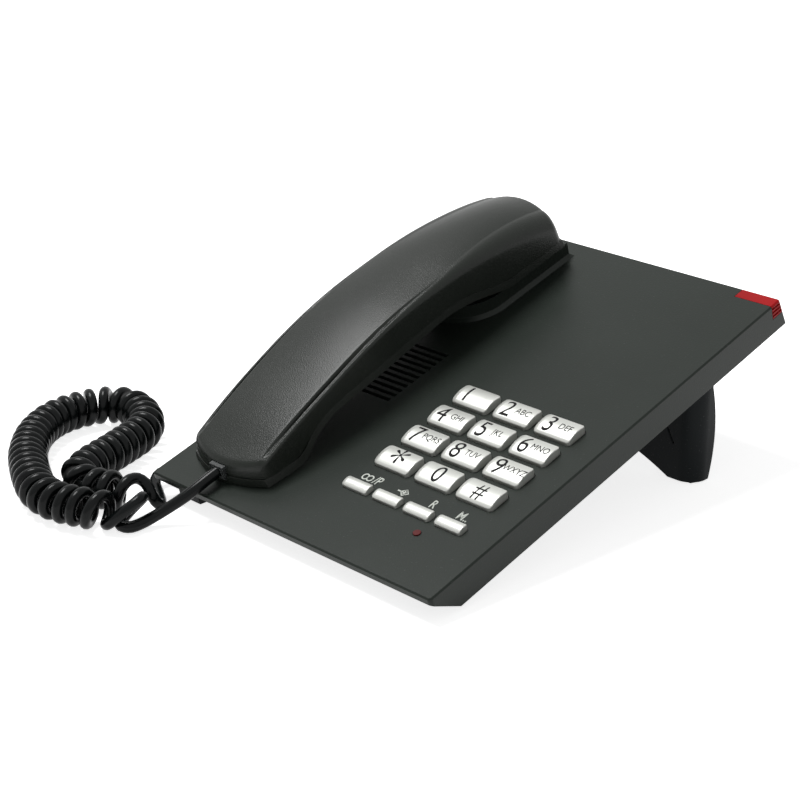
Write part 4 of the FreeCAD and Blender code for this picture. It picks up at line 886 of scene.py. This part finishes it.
@dataclass
class Keypad:
    """Twelve dialling keys and four function keys, with their legends and labels.

    A key's size is its width, depth, height and crown. A digit's type is its size and how far
    its middle lies before the key's.
    """

    left: float = 2.4
    front: float = 47.2
    pitch_x: float = 20.86
    pitch_y: float = 14.87
    size: tuple = (17.5, 10.7, 3.1, 1.7)
    function_left: float = 0.9
    function_front: float = 31.3
    function_pitch: float = 15.73
    function_size: tuple = (12.57, 4.9, 2.2, 1.0)
    function_corner: float = 0.8
    function_rim: float = 0.35
    digit_type: tuple = (11.8, 0.3)
    sign_types: tuple = (("*", (20.0, 2.7)), ("#", (10.4, 0.3)))
    sign_names: tuple = (("*", "star"), ("#", "hash"))
    digit_share: float = 0.27
    digit_rise: float = 0.03
    digit_stretch: float = 0.86
    letter_size: float = 4.4
    letter_share: float = 0.69
    letter_rise: float = 0.05
    letter_stretch: float = 0.82
    label_setback: float = 8.9
    label_size: float = 6.2
    label_rise: float = 0.02
    label_stretch: float = 0.72
    label_bolder: float = 0.014
    label_stroke: float = 0.58
    ring_half: tuple = (1.25, 1.5)
    legends: str = "* 0 # 7PQRS 8TUV 9WXYZ 4GHI 5JKL 6MNO 1 2ABC 3DEF"
    functions: tuple = ("redial", "program", "recall", "memory")

    def build(self) -> None:
        """Make the keys, then the ink on each of them and behind the function keys."""
        names = dict(self.sign_names)
        for number, legend in enumerate(self.legends.split()):
            digit, letters = legend[0], legend[1:]
            key = Key("key_" + names.get(digit, digit), self.left + (number % 3) * self.pitch_x,
                      self.front + (number // 3) * self.pitch_y, *self.size)
            key.build()
            self.legend(key, digit, letters)
        for number, name in enumerate(self.functions):
            key = Key("key_" + name, self.function_left + number * self.function_pitch,
                      self.function_front, *self.function_size, corner=self.function_corner,
                      rim=self.function_rim)
            key.build()
        self.labels()

    def legend(self, key: Key, digit: str, letters: str) -> None:
        """Print a key's digit and its small letters.

        Args:
            key: the key.
            digit: the large character.
            letters: the small ones, or none.
        """
        middle = key.front + key.depth / 2

        def surface(y: np.ndarray) -> np.ndarray:
            """The cap's top at y."""
            return key.top(y - middle)

        alone = not letters and digit != "1"
        share = 0.5 if alone else self.digit_share
        size, drop = dict(self.sign_types).get(digit, self.digit_type)
        piece = ink(key.name + "_digit", digit, size, (key.left + key.width * share, middle - drop),
                    surface, self.digit_rise, self.digit_stretch)
        settle(piece, key.name, INK_FINISH)
        if letters:
            place = (key.left + key.width * self.letter_share, middle + 0.1)
            piece = ink(key.name + "_letters", letters, self.letter_size, place, surface,
                        self.letter_rise, self.letter_stretch)
            settle(piece, key.name, LETTER_FINISH)

    def labels(self) -> None:
        """Print the small labels behind the function keys: plain letters, and two plain signs."""
        y = self.function_front + self.label_setback
        words = (("label_pause", "/P", 10.4), ("label_recall", "R", 2 * self.function_pitch + 7.6),
                 ("label_memory", "M..", 3 * self.function_pitch + 6.6))
        for name, text, x in words:
            piece = ink(name, text, self.label_size, (self.function_left + x, y), np.zeros_like,
                        self.label_rise, self.label_stretch, self.label_bolder)
            settle(piece, Body.BASE.value, LABEL_FINISH)
        half_x, half_y = self.ring_half
        loop = np.radians(np.arange(0, 361, 15))
        ring = np.stack([half_x * np.cos(loop), half_y * np.sin(loop)], axis=-1)
        diamond = np.array([(0.5, 1.9), (-1.7, 0.0), (0.5, -1.9), (2.7, 0.0), (0.5, 1.9)])
        arrow = np.array([(-3.0, 0.0), (1.1, 0.0)])
        head = np.array([(0.1, 0.9), (1.1, 0.0), (0.1, -0.9)])
        redial = self.function_left + 5.2
        program = self.function_left + self.function_pitch + 8.2
        signs = (("label_redial", redial, (ring - [1.2, 0.0], ring + [1.2, 0.0])),
                 ("label_program", program, (diamond * [0.85, 0.95], arrow, head)))
        for name, x, strokes in signs:
            piece = sign(name, [stroke + [x, y] for stroke in strokes], self.label_stroke,
                         self.label_rise)
            settle(piece, Body.BASE.value, LABEL_FINISH)


@dataclass
class CurlyCord:
    """The curly cord: its lead from the handset, its curls and its lead to the base.

    Places are in the desk frame, in millimetres, apart from the two points inside each plug,
    which are in the slab frame. A pull is how many times more than the closed pitch an end of
    the curls is stretched, and the reach over which that fades out.
    """

    wire: float = 4.6
    curl_radius: float = 5.8
    axis_height: float = 8.25
    pitch: float = 5.05
    bend_share: float = 0.75
    steps: int = 20
    samples: int = 900
    smoothing: int = 25
    first_pull: tuple = (0.6, 9.0)
    last_pull: tuple = (1.8, 9.0)
    first_lean: tuple = (4.0, 9.0)
    handset_plug: tuple = ((-45.0, 9.7, 4.4), (-45.0, 4.3, 4.4))
    base_plug: tuple = ((-72.6, 9.7, -7.2), (-68.2, 9.7, -7.2))
    line: tuple = (
        (-63.6, -31.8), (-67.5, -33.9), (-70.8, -35.4), (-83.5, -40.1), (-95.6, -39.2),
        (-105.9, -34.5), (-117.1, -28.3), (-128.2, -21.1), (-139.6, -10.5), (-146.5, -0.5),
        (-150.9, 10.9), (-150.4, 23.3), (-146.6, 33.5), (-138.1, 38.8), (-128.9, 37.7),
        (-118.0, 31.8), (-111.2, 23.6), (-107.1, 10.7), (-103.9, 0.5), (-101.6, -9.4),
        (-96.3, -19.9), (-88.8, -23.1), (-81.1, -21.0), (-75.6, -18.3), (-69.0, -14.9))
    handset_lead: tuple = (
        (-46.8, -5.5, 11.2), (-51.0, -12.0, 6.6), (-54.0, -17.6, 3.4), (-54.6, -22.4, 2.5),
        (-54.8, -26.2, 2.45), (-57.0, -28.3, 2.45), (-60.2, -28.1, 2.45), (-62.1, -25.2, 2.9),
        (-61.8, -21.4, 5.6), (-58.4, -18.4, 10.2), (-54.4, -20.0, 13.7), (-53.2, -25.2, 12.6),
        (-56.4, -30.0, 8.4), (-60.4, -32.8, 4.2))
    base_lead: tuple = (
        (-69.0, -11.5, 13.6), (-66.3, -9.6, 11.6), (-63.3, -9.8, 8.2), (-61.7, -9.1, 4.8),
        (-61.9, -6.9, 2.9), (-64.6, -4.2, 2.5), (-70.5, -0.8, 3.0), (-77.0, 2.6, 3.8),
        (-80.4, 6.4, 4.8), (-80.4, 10.4, 5.7), (-77.4, 12.5, 6.1))

    def spline_points(self, points: np.ndarray) -> np.ndarray:
        """Read a smooth spline through control points, as points in millimetres.

        Args:
            points: the control points, in millimetres.

        Returns:
            Points close together along the spline.
        """
        curve = self.nurbs("route", points * MM)
        curve.resolution_u = 24
        holder = placed("route", curve)
        mesh = shown_mesh(holder)
        bpy.data.objects.remove(holder)
        return read_points(mesh) / MM

    def nurbs(self, name: str, points: np.ndarray) -> bpy.types.Curve:
        """Make an open NURBS curve of order 3 from control points, in metres."""
        curve = bpy.data.curves.new(name, "CURVE")
        curve.dimensions = "3D"
        spline = curve.splines.new("NURBS")
        spline.points.add(len(points) - 1)
        rows = np.concatenate([points, np.ones((len(points), 1))], axis=1)
        spline.points.foreach_set("co", rows.ravel())
        spline.order_u = 3
        spline.use_endpoint_u = True
        return curve

    def pulled(self, distance: np.ndarray, pull: tuple[float, float]) -> np.ndarray:
        """How many times the closed pitch the cord advances, so far from an end of the curls."""
        return 1 + pull[0] * np.maximum(0.0, 1 - distance / pull[1])

    def curls(self) -> np.ndarray:
        """Wind the curls round the line that they lie along.

        The angle grows by one turn for each pitch travelled. On a bend, the pitch grows so
        that the curls stay clear of each other on the inside, and near the ends it grows as
        the ends are pulled. The first curl's top leans back over the lead.

        Returns:
            The curls' points, in the desk frame, in millimetres.
        """
        axis = np.array([(x, y, self.axis_height) for x, y in self.line], dtype=float)
        line = self.spline_points(axis)
        steps = np.diff(line, axis=0)
        length = np.concatenate([[0.0], np.cumsum(np.hypot(steps[:, 0], steps[:, 1]))])
        even = np.linspace(0, length[-1], self.samples)
        x, y = np.interp(even, length, line[:, 0]), np.interp(even, length, line[:, 1])
        ahead_x, ahead_y = np.gradient(x, even), np.gradient(y, even)
        bend = np.abs(ahead_x * np.gradient(ahead_y, even) - ahead_y * np.gradient(ahead_x, even))
        window = 2 * self.smoothing + 1
        bend = np.convolve(np.pad(bend, self.smoothing, mode="edge"), np.ones(window) / window,
                           mode="valid")
        pitch = self.pitch / (1 - np.clip(self.bend_share * self.curl_radius * bend, 0, 0.5))
        pitch = (pitch * self.pulled(even, self.first_pull)
                 * self.pulled(length[-1] - even, self.last_pull))
        turned = np.concatenate([[0.0], np.cumsum(np.diff(even) / pitch[1:])])
        turns = round(turned[-1] - 0.5) + 0.5
        log.info("curls: %.1f along %.0f mm", turns, length[-1])
        share = np.linspace(0, 1, int(turns * self.steps) + 1)
        reached = np.interp(share * turned[-1], turned, even)
        centre_x, centre_y, head_x, head_y = (
            np.interp(reached, even, part) for part in (x, y, ahead_x, ahead_y))
        size = np.hypot(head_x, head_y)
        head_x, head_y = head_x / size, head_y / size
        angle = -2 * np.pi * turns * share - np.pi / 2
        lean, fade = self.first_lean
        back = lean * np.maximum(0.0, 1 - reached / fade) * (1 + np.sin(angle)) / 2
        out = self.curl_radius * np.cos(angle)
        return np.stack([
            centre_x - head_y * out - head_x * back,
            centre_y + head_x * out - head_y * back,
            self.axis_height + self.curl_radius * np.sin(angle),
        ], axis=-1)

    def build(self) -> None:
        """Make the cord as one NURBS curve from the handset's plug to the base's plug."""
        points = np.concatenate([slab_to_desk(self.handset_plug), self.handset_lead, self.curls(),
                                 self.base_lead, slab_to_desk(self.base_plug)])
        points = from_desk(points)
        curve = self.nurbs("handset_cord_curled", points)
        curve.resolution_u = 2
        curve.bevel_depth = self.wire / 2 * MM
        curve.bevel_resolution = 4
        curve.use_fill_caps = True
        piece = placed("handset_cord_curled", curve)
        settle(piece, Body.BASE.value, CORD_FINISH, "handset_cord")

    def length(self, points: np.ndarray) -> float:
        """Length of the cord's spline, from the middles of its control points' runs."""
        middles = np.concatenate([points[:1], (points[:-1] + points[1:]) / 2, points[-1:]])
        return float(np.linalg.norm(np.diff(middles, axis=0), axis=1).sum())


@dataclass
class Base:
    """The base's pieces that keep the frame's shapes, with their edges rounded.

    Each row is a node, how wide its edges are rounded, in millimetres, and its finish.
    """

    pieces: tuple = (("base_top_housing", 0.3, BASE_FINISH),
                     ("base_bottom_cover", 0.3, COVER_FINISH),
                     ("desk_stand", 0.9, COVER_FINISH),
                     ("ring_lamp_lens", 0.2, LENS_FINISH),
                     ("base_end_plug", 0.25, PLUG_PAINTED_SHADE_FINISH),
                     ("base_handset_jack", 0.25, COVER_FINISH),
                     ("rubber_feet", 0.4, RUBBER_FINISH))

    def build(self) -> None:
        """Finish each piece and settle it on the base."""
        for node, edge, finish in self.pieces:
            settle(finished_copy(node, edge), Body.BASE.value, finish, node)


def dress_frame() -> None:
    """Give every CAD node that stays its finish."""
    wear = {
        BOARD_FINISH: ("main_circuit_board",),
        RUBBER_FINISH: ("keypad_rubber_mat",),
        SPEAKER_FINISH: ("ringer_speaker", "receiver_capsule", "microphone_capsule"),
        STEEL_FINISH: ("housing_screws", "handset_screw", "handset_weight"),
        SPRING_FINISH: ("hook_return_spring",),
        COVER_FINISH: ("hook_switch", "line_jack", "handset_cord_jack"),
        HANDSET_FINISH: ("hook_plunger",),
        LED_FINISH: ("ring_lamp_led",),
        LAMP_FINISH: ("indicator_led",),
    }
    for finish, names in wear.items():
        for name in names:
            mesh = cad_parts[name].data
            mesh.materials.clear()
            mesh.materials.append(finish.material())


@dataclass
class Studio:
    """The camera, the pale floor and the soft lights."""

    camera_place: tuple = (0.46905, -0.52037, 0.3211)
    camera_heading: tuple = (-0.6470, 0.6598, -0.3821)
    lens: float = 85.87
    sensor: float = 36.0
    floor_half: float = 4.0
    floor_lift: float = 0.8
    room_light: float = 0.25
    lamps: tuple = (("key_softbox", (-0.72, -0.15, 1.75), 0.7, 32.0),
                    ("fill_softbox", (1.5, -1.1, 1.2), 1.6, 1.0))

    def build(self) -> None:
        """Set up the camera, the floor, the lights and the world."""
        self.camera()
        self.floor()
        for lamp in self.lamps:
            self.lamp(*lamp)
        self.world()

    def backdrop_share(self, tree: Tree) -> Node:
        """Add up the rays that see the white backdrop: the camera's, and gloss and clear ones.

        Args:
            tree: the tree that the nodes go into.

        Returns:
            The node whose Value is one for those rays and nought for others.
        """
        rays = add_node(tree, "LightPath")
        seen = add_node(tree, "Math", operation="ADD", use_clamp=True)
        share = add_node(tree, "Math", operation="ADD", use_clamp=True)
        wire(tree, (rays, "Is Camera Ray", seen, 0), (rays, "Is Glossy Ray", seen, 1),
             (seen, "Value", share, 0), (rays, "Is Transmission Ray", share, 1))
        return share

    def camera(self) -> None:
        """Place the camera where the photograph was taken from."""
        data = bpy.data.cameras.new("camera")
        data.lens = self.lens
        data.sensor_width = self.sensor
        data.sensor_fit = "HORIZONTAL"
        data.clip_start = 0.01
        camera = placed("camera", data)
        camera.location = self.camera_place
        camera.rotation_euler = self.turned(np.array(self.camera_heading))
        bpy.context.scene.camera = camera

    def turned(self, heading: np.ndarray) -> tuple[float, float, float]:
        """Euler angles, without roll, of something that looks along a heading."""
        x, y, z = heading / np.linalg.norm(heading)
        return (math.acos(-z), 0.0, math.atan2(-x, y))

    def floor(self) -> None:
        """Lay a pale floor."""
        half = self.floor_half
        mesh = bpy.data.meshes.new("floor")
        mesh.from_pydata([(-half, -half, 0), (half, -half, 0), (half, half, 0), (-half, half, 0)],
                         [], [(0, 1, 2, 3)])
        floor = placed("floor", mesh)
        made = bpy.data.materials.new("floor_pale")
        made.use_nodes = True
        tree = made.node_tree
        surface = tree.nodes["Principled BSDF"]
        set_inputs(surface, {"Base Color": (0.85, 0.85, 0.85, 1.0), "Roughness": 0.9,
                             "Specular IOR Level": 0.1, "Emission Color": (1.0, 1.0, 1.0, 1.0)})
        lift = add_node(tree, "Math", {1: self.floor_lift}, operation="MULTIPLY")
        wire(tree, (self.backdrop_share(tree), "Value", lift, 0),
             (lift, "Value", surface, "Emission Strength"))
        mesh.materials.append(made)

    def lamp(self, name: str, place: tuple, size: float, power: float) -> None:
        """Hang a square soft light that faces the object's middle.

        Args:
            name: the lamp's name.
            place: where it hangs, in metres.
            size: its side, in metres.
            power: its power, in watts.
        """
        data = bpy.data.lights.new(name, "AREA")
        data.shape = "SQUARE"
        data.size = size
        data.energy = power
        lamp = placed(name, data)
        lamp.location = place
        lamp.rotation_euler = self.turned(-np.array(place))

    def world(self) -> None:
        """Light the room plainly, and show white behind the floor's edge."""
        world = bpy.data.worlds.new("room")
        bpy.context.scene.world = world
        world.use_nodes = True
        tree = world.node_tree
        background = tree.nodes["Background"]
        set_inputs(background, {"Color": (1.0, 1.0, 1.0, 1.0)})
        strength = add_node(tree, "MapRange", {"To Min": self.room_light, "To Max": 1.0})
        wire(tree, (self.backdrop_share(tree), "Value", strength, "Value"),
             (strength, "Result", background, "Strength"))
        bpy.context.scene.view_settings.view_transform = "Standard"


def main() -> None:
    """Build the telephone and the studio round it."""
    logging.basicConfig(level=logging.INFO)
    Studio().build()
    CurlyCord().build()
    Handset().build()
    Keypad().build()
    Base().build()
    dress_frame()


if __name__ == "__main__":
    main()
